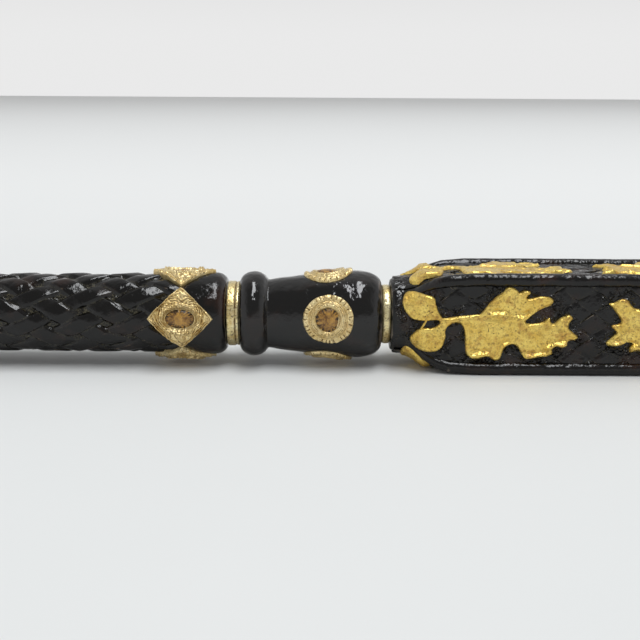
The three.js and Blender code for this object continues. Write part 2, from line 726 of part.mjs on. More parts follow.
// Rubber ferrule with a wide ground face, ribs and a steel washer at the bottom of its bore
function addFerrule() {
  const topRadius = ferruleTopDiameter / 2;
  const place = ([along, out]) => [
    ferruleStart + along * ferruleLength,
    topRadius + out * (gripHalf - topRadius),
  ];
  const ribs = ferruleRibShares.flatMap((along) => {
    const [x, radius] = place([along, ferruleWaistShare]);
    return [
      [x - ferruleRibWidth / 2, radius],
      [x - ferruleRibWidth / 4, radius + ferruleRibHeight],
      [x + ferruleRibWidth / 4, radius + ferruleRibHeight],
      [x + ferruleRibWidth / 2, radius],
    ];
  });
  const profile = [...ferruleBaseShares.map(place), ...ribs, ...ferruleTopShares.map(place)];
  const ferrule = toSolid(turned(profile, ferruleSides))
    .subtract(bore(ferruleStart + ferruleFloor, ferruleEnd + cutOverrun, spigotDiameter));
  addPiece('rubber_ferrule', toGeometry(ferrule), rubber);
  addPiece('ferrule_washer', bar(washerStart, washerStart + washerThickness, spigotDiameter), steel);
}

addShaft();
addLozenges();
addRing('lower_ring', lowerRingStart, lowerRingWidth, lowerRingDiameter, ringEase, rodDiameter);
addBarrel();
addRoundSettings();
addRing('upper_ring', upperRingStart, upperRingWidth, upperRingDiameter, ringCrown, rodDiameter);
addGrip();
addSprays();
addRing('pommel_ring', pommelRingStart, upperRingWidth, pommelRingDiameter, ringCrown, studDiameter);
addPommel();
addPommelCap();
addRods();
addCollar();
addFerrule();

export default stick;
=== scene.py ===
import math

import bmesh
import bpy
import numpy as np
from mathutils import Matrix, Vector, noise


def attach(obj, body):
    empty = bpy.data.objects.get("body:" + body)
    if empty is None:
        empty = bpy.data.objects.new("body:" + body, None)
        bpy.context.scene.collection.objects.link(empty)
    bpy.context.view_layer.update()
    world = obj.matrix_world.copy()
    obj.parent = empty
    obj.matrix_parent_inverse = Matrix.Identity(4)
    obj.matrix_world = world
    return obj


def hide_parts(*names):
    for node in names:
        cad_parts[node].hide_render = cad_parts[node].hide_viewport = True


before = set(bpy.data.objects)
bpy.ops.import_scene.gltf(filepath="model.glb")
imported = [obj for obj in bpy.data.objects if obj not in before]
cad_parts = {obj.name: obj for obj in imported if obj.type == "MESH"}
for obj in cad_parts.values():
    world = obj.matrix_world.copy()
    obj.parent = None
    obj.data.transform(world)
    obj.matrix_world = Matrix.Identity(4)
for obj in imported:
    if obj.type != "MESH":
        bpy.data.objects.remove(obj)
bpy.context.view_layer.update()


# The view: a camera a forearm's length from the middle of the stick and a little above it.
# The stick lies along X with its grip to the right. Its own sizes are in millimetres here,
# measured from its axis, and each piece is put into metres when it is settled in its place.
mm = 0.001
axis_height = 13.9
view_middle = 285.2
view_drop = 1.82
view_distance = 280
view_elevation = math.radians(13)
view_roll = math.radians(0.35)

camera_data = bpy.data.cameras.new("camera")
camera_data.sensor_width = 36
camera_data.lens = 56.25
camera_data.clip_start = 0.01
camera = bpy.data.objects.new("camera", camera_data)
bpy.context.scene.collection.objects.link(camera)
bpy.context.scene.camera = camera
towards_camera = Vector((0, -math.cos(view_elevation), math.sin(view_elevation)))
view_up = Vector((0, math.sin(view_elevation), math.cos(view_elevation)))
aim = Vector((view_middle, 0, axis_height)) - view_drop * view_up
camera.location = (aim + towards_camera * view_distance) * mm
camera.rotation_euler = (
    Matrix.Rotation(math.pi / 2 - view_elevation, 3, "X") @ Matrix.Rotation(view_roll, 3, "Z")
).to_euler()


# The table: a wide, pale, matt board, with painted shade that makes it a little greyer well in
# front of the stick. The room is pale behind and at both sides and dimmer in front, and one panel overhead
# gives the lacquer highlights.
def display_colour(red, green, blue):
    """A colour from 0 to 255, as a screen shows it, made linear for a shader"""
    linear = [((c / 255 + 0.055) / 1.055) ** 2.4 if c > 10 else c / 255 / 12.92 for c in (red, green, blue)]
    return (*linear, 1)


def grey(level):
    return (level, level, level, 1)


def feed(tree, node, inputs):
    """Gives a node its inputs: a socket is linked, and any other value is set"""
    for key, value in inputs.items():
        if isinstance(value, bpy.types.NodeSocket):
            tree.links.new(value, node.inputs[key])
        else:
            node.inputs[key].default_value = value


def add(tree, kind, inputs=None, **settings):
    """A new node with its settings and inputs"""
    made = tree.nodes.new("ShaderNode" + kind)
    for key, value in settings.items():
        setattr(made, key, value)
    feed(tree, made, inputs or {})
    return made


def new_material(name, inputs):
    """A material, its node tree and its surface shader, which gets the values that hold all over"""
    material = bpy.data.materials.new(name)
    material.use_nodes = True
    surface = material.node_tree.nodes["Principled BSDF"]
    feed(material.node_tree, surface, inputs)
    return material, material.node_tree, surface


def own_place(tree):
    """The place on the object, in its own coordinates"""
    return add(tree, "TexCoord").outputs["Object"]


def between_colours(tree, mask, low, high):
    """The colour from low to high that a mask picks"""
    return add(tree, "Mix", {0: mask, 6: low, 7: high}, data_type="RGBA").outputs[2]


def stretched(tree, value, low, high, new_low=0.0, new_high=1.0):
    """A value's range from low to high, eased and clamped to the new range"""
    inputs = {"Value": value, "From Min": low, "From Max": high, "To Min": new_low, "To Max": new_high}
    return add(tree, "MapRange", inputs, interpolation_type="SMOOTHSTEP").outputs["Result"]


def calculated(tree, operation, *values):
    """One sum on sockets or numbers"""
    return add(tree, "Math", dict(enumerate(values)), operation=operation).outputs[0]


table_half = 9.0
front_line = -0.12

table_material, table_tree, table_surface = new_material(
    "table_board", {"Roughness": 0.7, "Specular IOR Level": 0.2},
)
table_grain = add(table_tree, "TexNoise", {"Vector": own_place(table_tree), "Scale": 9.0, "Detail": 4.0})
table_depth = add(table_tree, "SeparateXYZ", {"Vector": own_place(table_tree)}).outputs["Y"]
table_colour = between_colours(
    table_tree, table_grain.outputs["Fac"], display_colour(219, 221, 220), display_colour(224, 225, 224),
)
table_colour = between_colours(
    table_tree, stretched(table_tree, table_depth, front_line, 0.6),
    table_colour, display_colour(231, 232, 231),
)
# painted shade: the board darkens well in front of the stick
table_colour = between_colours(
    table_tree, stretched(table_tree, table_depth, -0.5, front_line),
    display_colour(198, 199, 199), table_colour,
)
feed(table_tree, table_surface, {"Base Color": table_colour})

board = bmesh.new()
bmesh.ops.create_grid(board, x_segments=1, y_segments=1, size=table_half)
table_mesh = bpy.data.meshes.new("table")
board.to_mesh(table_mesh)
board.free()
table_mesh.materials.append(table_material)
table = bpy.data.objects.new("table", table_mesh)
bpy.context.scene.collection.objects.link(table)

room = bpy.data.worlds.new("room")
room.use_nodes = True
room_tree = room.node_tree
room_side = add(room_tree, "SeparateXYZ", {"Vector": add(room_tree, "TexCoord").outputs["Generated"]}).outputs
room_front = add(room_tree, "ValToRGB", {"Fac": room_side["Z"]}).outputs["Color"]
room_stops = room_front.node.color_ramp.elements
for place, level in ((0.06, 0.7), (0.26, 0.3), (0.8, 0.3)):
    room_stops.new(place).color = grey(level)
room_stops[0].color = grey(0.78)
room_stops[-1].color = grey(0.3)
room_back = between_colours(
    room_tree, stretched(room_tree, room_side["Z"], 0.04, 0.22), grey(0.82), grey(0.62),
)
room_colour = between_colours(
    room_tree, stretched(room_tree, room_side["Y"], -0.15, 0.35), room_front, room_back,
)
towards_side = stretched(room_tree, calculated(room_tree, "ABSOLUTE", room_side["X"]), 0.45, 0.85)
room_colour = between_colours(room_tree, towards_side, room_colour, (0.8, 0.8, 0.81, 1))
feed(room_tree, room_tree.nodes["Background"], {"Color": room_colour})
bpy.context.scene.world = room
bpy.context.scene.view_settings.view_transform = "Standard"

window_data = bpy.data.lights.new("window", "AREA")
window_data.shape = "RECTANGLE"
window_data.size = 1.25
window_data.size_y = 4.6
window_data.energy = 182
window_data.color = (0.96, 0.98, 1.0)
window = bpy.data.objects.new("window", window_data)
bpy.context.scene.collection.objects.link(window)
window.location = (0.85, -1.1, 5.0)


# The shaft: one piece of hardwood, round and tapered. Its upper part is carved as a plain braid
# of eight strands each way, over one and under one, down to a turned bead, and the rest is left
# smooth. It is painted black, lacquered, and rubbed brown where a hand or a table touches it; the lighter
# worn colour of its edges is partly painted highlight.
def node_group(name, inputs, outputs):
    """An empty shader node group with number inputs, and its two end nodes"""
    group = bpy.data.node_groups.new(name, "ShaderNodeTree")
    for label, value in inputs.items():
        socket = group.interface.new_socket(label, in_out="INPUT", socket_type="NodeSocketFloat")
        socket.default_value = value
    for label in outputs:
        group.interface.new_socket(label, in_out="OUTPUT", socket_type="NodeSocketFloat")
    return group, group.nodes.new("NodeGroupInput"), group.nodes.new("NodeGroupOutput")


def place_group(tree, group, **inputs):
    """A node group put into a material with its own values"""
    labelled = {key.replace("_", " ").capitalize(): value for key, value in inputs.items()}
    return add(tree, "Group", labelled, node_tree=group).outputs


def noise_at(tree, scale, detail=3.0, roughness=0.5):
    """Noise in the object's own space; a thousandth of the scale is its patches to the millimetre"""
    inputs = {"Vector": own_place(tree), "Scale": scale, "Detail": detail, "Roughness": roughness}
    return add(tree, "TexNoise", inputs).outputs["Fac"]


def written(tree, name):
    """A value that the mesh carries at its points"""
    return add(tree, "Attribute", attribute_name=name).outputs["Fac"]


def combined(tree, operation, *values):
    """Several sockets or numbers put together in turn, from the first to the last"""
    result = values[0]
    for value in values[1:]:
        result = calculated(tree, operation, result, value)
    return result


def bumped(tree, height, strength, distance):
    """The normal of a surface with so much relief, its distance in metres"""
    return add(tree, "Bump", {"Height": height, "Strength": strength, "Distance": distance}).outputs["Normal"]


# Lumps, brush drag and grit in a thick coat that was brushed on by hand, and the crust where it
# has piled up
brushed_coat, coat_in, coat_out = node_group(
    "brushed_coat", {"Lumps": 1.0, "Ragged": 0.5, "Grit": 0.2}, ["Height", "Dull patches"],
)
coat_lumps = calculated(
    brushed_coat, "MULTIPLY", noise_at(brushed_coat, 260.0, 1.0), coat_in.outputs["Lumps"],
)
coat_drag = calculated(
    brushed_coat, "ABSOLUTE", calculated(brushed_coat, "SUBTRACT", noise_at(brushed_coat, 560.0, 1.0), 0.5),
)
coat_folds = calculated(brushed_coat, "MULTIPLY", coat_drag, coat_in.outputs["Ragged"])
coat_clots = stretched(brushed_coat, noise_at(brushed_coat, 1300.0, 1.0), 0.4, 0.65, 0.0, 5.0)
coat_crust = calculated(brushed_coat, "MULTIPLY", coat_clots, written(brushed_coat, "crust"))
coat_grit = calculated(brushed_coat, "MULTIPLY", noise_at(brushed_coat, 2900.0), coat_in.outputs["Grit"])
feed(brushed_coat, coat_out, {
    "Height": combined(brushed_coat, "ADD", coat_lumps, coat_folds, coat_crust, coat_grit),
    "Dull patches": stretched(brushed_coat, noise_at(brushed_coat, 140.0, 5.0, 0.6), 0.45, 0.68),
})

# Edges rubbed through the finish, uneven along their length
rubbed_edges, rub_in, rub_out = node_group("rubbed_edges", {"Reach": 0.5}, ["Mask"])
rub_patches = stretched(rubbed_edges, noise_at(rubbed_edges, 260.0, 4.0), 0.3, 0.7, 0.25, 1.3)
rub_edge = calculated(rubbed_edges, "MULTIPLY", written(rubbed_edges, "edge"), rub_patches)
rub_from = calculated(rubbed_edges, "SUBTRACT", 0.85, rub_in.outputs["Reach"])
feed(rubbed_edges, rub_out, {"Mask": stretched(rubbed_edges, rub_edge, rub_from, 1.0)})

# Dust and old polish that lie in the hollows of the carving
settled_dust, dust_in, dust_out = node_group("settled_dust", {"Amount": 0.6}, ["Mask"])
dust_specks = stretched(settled_dust, noise_at(settled_dust, 2300.0, 5.0, 0.75), 0.45, 0.6)
feed(settled_dust, dust_out, {"Mask": combined(
    settled_dust, "MULTIPLY", written(settled_dust, "hollow"), dust_specks, dust_in.outputs["Amount"],
)})


def lacquer_finish(name, lumps, ragged, grit, satin, reach, dust, brown, edge_wear_and_glint, ior):
    """Black lacquer over brown wood, with its own lumps, wear and dust; the lighter colour of its worn edges
    is partly painted highlight
    """
    material, tree, surface = new_material(name, {"IOR": ior})
    coat = place_group(tree, brushed_coat, lumps=lumps, ragged=ragged, grit=grit)
    rubbed = place_group(tree, rubbed_edges, reach=reach)["Mask"]
    dusty = place_group(tree, settled_dust, amount=dust)["Mask"]
    browned = stretched(tree, noise_at(tree, 130.0, 3.0), 0.52, 0.78, 0.0, brown)
    colour = between_colours(tree, browned, display_colour(14, 13, 12), display_colour(46, 28, 20))
    # worn edges lightened: partly real wear, partly painted highlight along the edges
    colour = between_colours(tree, rubbed, colour, edge_wear_and_glint)
    colour = between_colours(tree, dusty, colour, display_colour(104, 98, 76))
    dull = combined(
        tree, "MAXIMUM",
        calculated(tree, "MULTIPLY", coat["Dull patches"], 0.3),
        dusty,
        calculated(tree, "MULTIPLY", rubbed, 0.4),
        calculated(tree, "MULTIPLY", written(tree, "edge"), satin),
    )
    feed(tree, surface, {
        "Base Color": colour,
        "Roughness": stretched(tree, dull, 0.0, 1.0, 0.05, 0.55),
        "Normal": bumped(tree, coat["Height"], 0.6, 0.0006),
    })
    return material


def on_curve(before, start, end, after, t):
    """A point, at t from 0 to 1, on a smooth line from start to end that heeds their neighbours"""
    return 0.5 * (
        2 * start + (end - before) * t
        + (2 * before - 5 * start + 4 * end - after) * t ** 2
        + (3 * start - before - 3 * end + after) * t ** 3
    )


def eased(points, steps):
    """A smooth line through the points of a profile, with so many steps between neighbours"""
    corners = [Vector(point) for point in points]
    last = len(corners) - 1
    line = []
    for i in range(last):
        neighbours = (corners[max(i - 1, 0)], corners[i], corners[i + 1], corners[min(i + 2, last)])
        line += [on_curve(*neighbours, step / steps) for step in range(steps)]
    return line + corners[-1:]


def turned_body(*parts):
    """A closed body turned on the stick's axis from profiles, each with its number of sides"""
    bm = bmesh.new()
    for profile, sides in parts:
        line = [bm.verts.new((along, 0, radius)) for along, radius in profile]
        edges = [bm.edges.new(pair) for pair in zip(line, line[1:])]
        bmesh.ops.spin(
            bm, geom=line + edges, cent=(0, 0, 0), axis=(1, 0, 0), dvec=(0, 0, 0),
            angle=2 * math.pi, steps=sides, use_merge=True,
        )
    bmesh.ops.remove_doubles(bm, verts=bm.verts, dist=0.0005)
    bmesh.ops.recalc_face_normals(bm, faces=bm.faces)
    return bm


def face_outwards(bm):
    """Turns an open skin's faces away from the stick's axis"""
    bm.normal_update()
    leaning = sum(f.normal.dot(Vector((0, *f.calc_center_median()[1:]))) for f in bm.faces)
    if leaning < 0:
        bmesh.ops.reverse_faces(bm, faces=bm.faces)


def trim(bm, planes):
    """Cuts away what lies past each plane, which is a point on it and the way it faces"""
    for point, facing in planes:
        everything = bm.verts[:] + bm.edges[:] + bm.faces[:]
        bmesh.ops.bisect_plane(bm, geom=everything, plane_co=point, plane_no=facing, clear_outer=True)


def take_in(bm, other):
    """Adds another shape to a shape, and lets the other go"""
    carried = bpy.data.meshes.new("carried")
    other.to_mesh(carried)
    other.free()
    bm.from_mesh(carried)
    bpy.data.meshes.remove(carried)


def note_relief(mesh, gain):
    """Writes for each point how far it stands out as an edge or lies back as a hollow"""
    count = len(mesh.vertices)
    places = np.empty(count * 3)
    normals = np.empty(count * 3)
    pairs = np.empty(len(mesh.edges) * 2, dtype=np.int64)
    mesh.vertices.foreach_get("co", places)
    mesh.vertices.foreach_get("normal", normals)
    mesh.edges.foreach_get("vertices", pairs)
    places = places.reshape(-1, 3)
    normals = normals.reshape(-1, 3)
    here = np.concatenate([pairs[0::2], pairs[1::2]])
    there = np.concatenate([pairs[1::2], pairs[0::2]])
    away = places[there] - places[here]
    reach = np.maximum(np.linalg.norm(away, axis=1), 1e-9)
    neighbours = np.maximum(np.bincount(here, minlength=count), 1)
    bend = np.bincount(here, weights=(away * normals[here]).sum(1) / reach, minlength=count) / neighbours
    softened = 0.6 * bend + 0.4 * np.bincount(here, weights=bend[there], minlength=count) / neighbours
    for name, values in (("edge", -softened), ("hollow", softened)):
        extra = mesh.attributes.get(name)
        levels = np.clip(values * gain, 0, 1)
        if extra:
            stored = np.empty(count)
            extra.data.foreach_get("value", stored)
            levels = np.clip(levels + stored, 0, 1)
        else:
            extra = mesh.attributes.new(name, "FLOAT", "POINT")
        extra.data.foreach_set("value", levels)


def settle(name, bm, material, nodes, gain=2.5, crease=40):
    """Puts a shape that was made in millimetres round the axis into its place as a finished piece"""
    place = Matrix.Translation((0, 0, axis_height * mm)) @ Matrix.Scale(mm, 4)
    bmesh.ops.transform(bm, matrix=place, verts=bm.verts)
    mesh = bpy.data.meshes.new(name)
    bm.to_mesh(mesh)
    bm.free()
    mesh.shade_smooth()
    mesh.set_sharp_from_angle(angle=math.radians(crease))
    note_relief(mesh, gain)
    mesh.materials.append(material)
    piece = bpy.data.objects.new(name, mesh)
    bpy.context.scene.collection.objects.link(piece)
    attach(piece, "root")
    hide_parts(*nodes)


def unevenness(place, octaves=2):
    """Soft noise, from about -1 to 1, at a place"""
    return noise.fractal(Vector(place), 1.0, 2.0, octaves)


shaft_top = 259.5
shaft_foot = -394.4
spigot_foot = -439.3
spigot_radius = 7.7
foot_radius = 8.6
top_radius = 11.15
full_radius_at = 238.65
head_start = shaft_top - 12
head_foot = head_start - 0.9
bore_radius = 4.2

strands_each_way = 8
braid_end = -58.0
braid_anchor = 235.2
half_step = 7.1
braid_turn = math.radians(-8)
braid_lean = 2.4
lean_turn = math.radians(14.5)
strand_half = 0.37
strand_lines = [0, 0.13, 0.25, 0.275, 0.32, 0.37, 0.4, 0.5, 0.6, 0.63, 0.68, 0.725, 0.75, 0.87]
strand_shares = [0, 0.676, 0.743, 1]
strand_falls = [0.06, 0.09, 0.16, 0.84]
cells_down = 53
cells_above = 3
strand_dip = 0.45
pit_depth = 1.4
braid_seed = 7
crest_drop = 0.06
plain_drop = 0.05
nowhere = -1e9


def shaft_radius(along):
    share = (along - shaft_foot) / (full_radius_at - shaft_foot)
    return foot_radius + (top_radius - foot_radius) * share


def scattered(first, second):
    """A fixed number from -1 to 1 for each pair of whole numbers"""
    mixed = np.sin(first * 12.9898 + second * 78.233) * 43758.5453
    return 2 * (mixed - np.floor(mixed)) - 1


def strand_grid(bm, cells, line_shares):
    """Makes a grid whose lines follow two crossing sets of strands, and counts both sets at each point"""
    lines = len(line_shares)
    segments = [count * lines for count in cells]
    bmesh.ops.create_grid(bm, x_segments=segments[0], y_segments=segments[1], size=1)
    flat = np.array([v.co[:2] for v in bm.verts])
    steps = np.rint((flat + 1) / 2 * segments).astype(int)
    counted = steps // lines + np.array(line_shares)[steps % lines]
    return counted[:, 0], counted[:, 1]


def crossing_sets(rising, falling):
    """Both sets of strands: the strand, its tile, the place beside and along it, and how far on top"""
    rising_line = np.rint(rising)
    falling_line = np.rint(falling)
    rising_tile = falling_line + 2 * np.rint((rising - falling_line) / 2)
    falling_tile = rising_line + 1 + 2 * np.rint((falling - rising_line - 1) / 2)
    rising_top = np.cos(math.pi * (rising + falling_line))
    falling_top = -np.cos(math.pi * (rising_line + falling))
    return (
        (falling_line, rising_tile, falling - falling_line, rising - rising_tile, rising_top),
        (rising_line, falling_tile, rising - rising_line, falling - falling_tile, falling_top),
    )


def carved_braid():
    """A grid wrapped round the shaft, with the braid cut into it"""
    bm = bmesh.new()
    rising, falling = strand_grid(bm, (cells_down, strands_each_way), strand_lines)
    rising = rising + cells_above - cells_down
    along = braid_anchor + (rising + falling) * half_step
    turn = braid_turn + (rising - falling) * math.pi / strands_each_way
    along += braid_lean * np.sin(turn - lean_turn)
    points = [Vector(p) for p in np.stack([along / 4, 3 * np.cos(turn), 3 * np.sin(turn)], axis=1)]
    noise.seed_set(braid_seed)
    waver = np.array([noise.noise_vector(p) for p in points])
    rough = np.array([unevenness(p * 1.7, 3) for p in points])
    crest = shaft_radius(along) - crest_drop

    def strand(line, tile, beside, onward, top, shift):
        """The surface of one set of strands, which sinks where it passes under the other set"""
        share = np.abs(beside) / strand_half
        key = tile + line + shift
        kind = line % strands_each_way
        tilt = scattered(key, kind) * 0.75 * beside + scattered(key + 3.7, kind) * 0.3 * onward
        lift = strand_dip * (np.clip(1.4 * top, -1, 1) - 1)
        surface = crest + lift - np.interp(share, strand_shares, strand_falls) + tilt + 0.06 * rough
        return np.where(share <= 1.001, surface, nowhere)

    rising_set, falling_set = crossing_sets(rising, falling)
    strands = np.maximum(strand(*rising_set, 0), strand(*falling_set, 0.5))
    pit = crest - pit_depth + 0.22 * rough
    radius = np.maximum(strands, pit)
    in_pit = (pit >= strands).astype(float)

    along = along + 0.26 * waver[:, 0]
    turn = turn + 0.022 * waver[:, 1]
    hollow = bm.verts.layers.float.new("hollow")
    for v, x, a, r, deep in zip(bm.verts, along, turn, radius, in_pit):
        v.co = (x, -r * math.cos(a), r * math.sin(a))
        v[hollow] = 0.8 * deep
    bmesh.ops.remove_doubles(bm, verts=bm.verts, dist=0.002)
    trim(bm, (((head_start, 0, 0), (1, 0, 0)), ((braid_end, 0, 0), (-1, 0, 0))))
    face_outwards(bm)
    return bm


shaft = carved_braid()
head_shape = [
    (10, 11.25), (7.5, 11.4), (4.5, 11.45), (2.6, 11.36), (1.4, 10.95), (0.6, 10.3), (0.1, 9.6), (0, 9.0),
]
head_profile = [(head_foot, bore_radius), (head_foot, 10.4), (head_start - 0.3, 10.9)]
head_profile += eased([(shaft_top - back, radius) for back, radius in head_shape], 3)
head_profile += [(shaft_top, bore_radius), (head_foot, bore_radius)]
bead_shape = [
    (0.3, 8.6), (0.6, 9.5), (1.4, 9.95), (2.8, 10.1), (4.2, 9.9), (5.0, 9.3), (5.6, 9.05), (6.8, 9.3),
    (8.5, 9.6),
]
lower_profile = [(braid_end + 2, 0), (braid_end + 2, 8.2)]
lower_profile += eased([(braid_end - down, radius) for down, radius in bead_shape], 3)
lower_profile += [
    (along, shaft_radius(along) - plain_drop) for along in np.linspace(braid_end - 12, shaft_foot + 1.2, 130)
]
lower_profile += [
    (shaft_foot + 0.4, 8.45), (shaft_foot, 8.1), (shaft_foot, spigot_radius),
    (spigot_foot + 0.6, spigot_radius), (spigot_foot, spigot_radius - 0.6), (spigot_foot, 0),
]
turned_parts = turned_body((head_profile, 112), (lower_profile, 96))
for v in turned_parts.verts:
    if shaft_foot < v.co.x < shaft_top - 0.2 and v.co.yz.length > 8:
        v.co.yz = v.co.yz * (1 + 0.008 * unevenness((v.co.x / 22, v.co.y / 6, v.co.z / 6)))
take_in(shaft, turned_parts)
# the worn colour on the strand edges is partly real wear, partly painted highlight
shaft_lacquer = lacquer_finish(
    "shaft_lacquer", lumps=1.0, ragged=0.42, grit=0.08, satin=0.18, reach=0.5, dust=0.6, brown=0.7,
    edge_wear_and_glint=display_colour(108, 94, 80), ior=1.43,
)
settle("carved_shaft", shaft, shaft_lacquer, ["shaft"], gain=4.5, crease=28)


# Lozenge settings: four plates of cast and gilded metal, corner to corner round the shaft's head.
# Each is bent to the shaft, wrinkled by the wax it was modelled in, with a groove inside its
# border and a raised oval rim round an oval stone, and is glued into a flat let into the wood.
def face_turn(number, lean=-4):
    """The turn that carries a piece from the top of the stick to face 1, 2, 3 or 4"""
    return Matrix.Rotation(math.radians(90 * (number - 1) + lean), 4, "X")


def ringed_disc(sides, radii):
    """A flat disc made of loops with the given radii, from its edge to one point in the middle"""
    bm = bmesh.new()
    bmesh.ops.create_circle(bm, cap_ends=False, segments=sides, radius=1)
    edges = bm.edges[:]
    for radius in radii:
        grown = bmesh.ops.extrude_edge_only(bm, edges=edges)["geom"]
        edges = [g for g in grown if isinstance(g, bmesh.types.BMEdge)]
        verts = [g for g in grown if isinstance(g, bmesh.types.BMVert)]
        for v in verts:
            v.co = v.co.normalized() * radius
    bmesh.ops.pointmerge(bm, verts=verts, merge_co=(0, 0, 0))
    return bm


def oval_reach(angle, half_along, half_across, power):
    """How far an outline between a lozenge, power 1, and an oval, power 2, reaches at an angle"""
    along = abs(math.cos(angle)) / half_along
    across = abs(math.sin(angle)) / half_across
    return (along ** power + across ** power) ** (-1 / power)


def bent(along, across, radius, bend):
    """A point over a face of the stick: arc lengths across it, taken on a cylinder, made an angle"""
    angle = across / bend
    return Vector((along, radius * math.sin(angle), radius * math.cos(angle)))


def limited(value):
    """A value kept between 0 and 1"""
    return min(1.0, max(0.0, value))


def band(share, inner, rise, outer, fall):
    """1 between two shares of a disc's radius, falling to 0 past them with the given steepness"""
    return limited((share - inner) * rise) * limited((outer - share) * fall)


# Pits, brown flecks, dirt in the hollows and worn tone in gilding over a rough casting
pitted_gilding, gild_in, gild_out = node_group(
    "pitted_gilding", {"Pits": 0.5, "Pit scale": 900.0, "Flecks": 0.5, "Dirt": 0.5},
    ["Dirt", "Height", "Tone", "Shade"],
)
gild_specks = noise_at(pitted_gilding, gild_in.outputs["Pit scale"], 3.0, 0.6)
gild_pits = combined(
    pitted_gilding, "MULTIPLY",
    stretched(pitted_gilding, gild_specks, 0.6, 0.68),
    stretched(pitted_gilding, noise_at(pitted_gilding, 420.0, 3.0), 0.44, 0.6),
    gild_in.outputs["Pits"],
)
gild_flecks = calculated(
    pitted_gilding, "MULTIPLY",
    stretched(pitted_gilding, noise_at(pitted_gilding, 1300.0, 5.0, 0.65), 0.5, 0.66),
    gild_in.outputs["Flecks"],
)
gild_lines = combined(
    pitted_gilding, "MULTIPLY",
    written(pitted_gilding, "hollow"),
    stretched(pitted_gilding, noise_at(pitted_gilding, 1100.0, 3.0), 0.3, 0.6, 0.5, 1.6),
    gild_in.outputs["Dirt"],
)
gild_dirt = combined(pitted_gilding, "MAXIMUM", gild_pits, gild_flecks, gild_lines)
gild_grain = calculated(pitted_gilding, "MULTIPLY", noise_at(pitted_gilding, 1200.0, 4.0, 0.6), 0.6)
feed(pitted_gilding, gild_out, {
    "Dirt": calculated(pitted_gilding, "MINIMUM", gild_dirt, 1.0),
    "Height": calculated(pitted_gilding, "SUBTRACT", gild_grain, gild_pits),
    "Tone": calculated(
        pitted_gilding, "ADD",
        calculated(pitted_gilding, "MULTIPLY", noise_at(pitted_gilding, 210.0, 3.0), 0.6),
        calculated(pitted_gilding, "MULTIPLY", noise_at(pitted_gilding, 2300.0, 3.0), 0.4),
    ),
    "Shade": stretched(pitted_gilding, noise_at(pitted_gilding, 330.0, 6.0, 0.72), 0.5, 0.66),
})


def gilt_finish(name, light, deep, dirt_colour, pits, pit_scale, flecks, dirt, shade, bump_height):
    """Gold paint and leaf with its own tones, pits and dirt"""
    material, tree, surface = new_material(name, {"Coat Roughness": 0.22, "Coat IOR": 1.5})
    gilding = place_group(tree, pitted_gilding, pits=pits, pit_scale=pit_scale, flecks=flecks, dirt=dirt)
    rubbed = place_group(tree, rubbed_edges, reach=0.6)["Mask"]
    colour = between_colours(tree, stretched(tree, gilding["Tone"], 0.35, 0.65), deep, light)
    browner = calculated(tree, "MULTIPLY", gilding["Shade"], shade)
    colour = between_colours(tree, browner, colour, display_colour(182, 128, 58))
    colour = between_colours(tree, calculated(tree, "MULTIPLY", rubbed, 0.7), colour, light)
    rough = calculated(tree, "ADD", calculated(tree, "MULTIPLY", gilding["Dirt"], 0.4), 0.31)
    feed(tree, surface, {
        "Base Color": between_colours(tree, gilding["Dirt"], colour, dirt_colour),
        "Metallic": stretched(tree, gilding["Dirt"], 0.0, 0.8, 0.85, 0.1),
        "Coat Weight": stretched(tree, gilding["Dirt"], 0.0, 0.7, 0.45, 0.1),
        "Roughness": calculated(tree, "SUBTRACT", rough, calculated(tree, "MULTIPLY", rubbed, 0.1)),
        "Normal": bumped(tree, gilding["Height"], 0.8, bump_height),
    })
    return material


pale_gilt = gilt_finish(
    "pale_gilt", display_colour(252, 232, 176), display_colour(220, 190, 120), display_colour(112, 82, 40),
    pits=0.7, pit_scale=1700.0, flecks=0.45, dirt=1.2, shade=0.35, bump_height=0.0004,
)

lozenge_centre = head_start
lozenge_bed = 11.15
lozenge_bend = 11.3
lozenge_shares = [0, 0.30, 0.36, 0.42, 0.50, 0.60, 0.90, 0.97, 1]
lozenge_half_along = [0, 3.4, 4.1, 4.5, 5.1, 5.8, 8.05, 8.7, 8.85]
lozenge_half_across = [0, 2.0, 2.5, 2.95, 3.55, 4.2, 7.9, 8.55, 8.7]
lozenge_power = [2, 2, 2, 2, 2, 1.9, 1.08, 1.06, 1.06]
lozenge_section = [
    (0, 0.5), (0.38, 0.5), (0.42, 1.0), (0.46, 1.5), (0.50, 1.66), (0.53, 1.6), (0.57, 1.3), (0.61, 1.0),
    (0.86, 0.96), (0.885, 0.93), (0.90, 0.76), (0.915, 0.98), (0.94, 1.08), (0.965, 1.0), (0.985, 0.5),
    (1, -0.6),
]


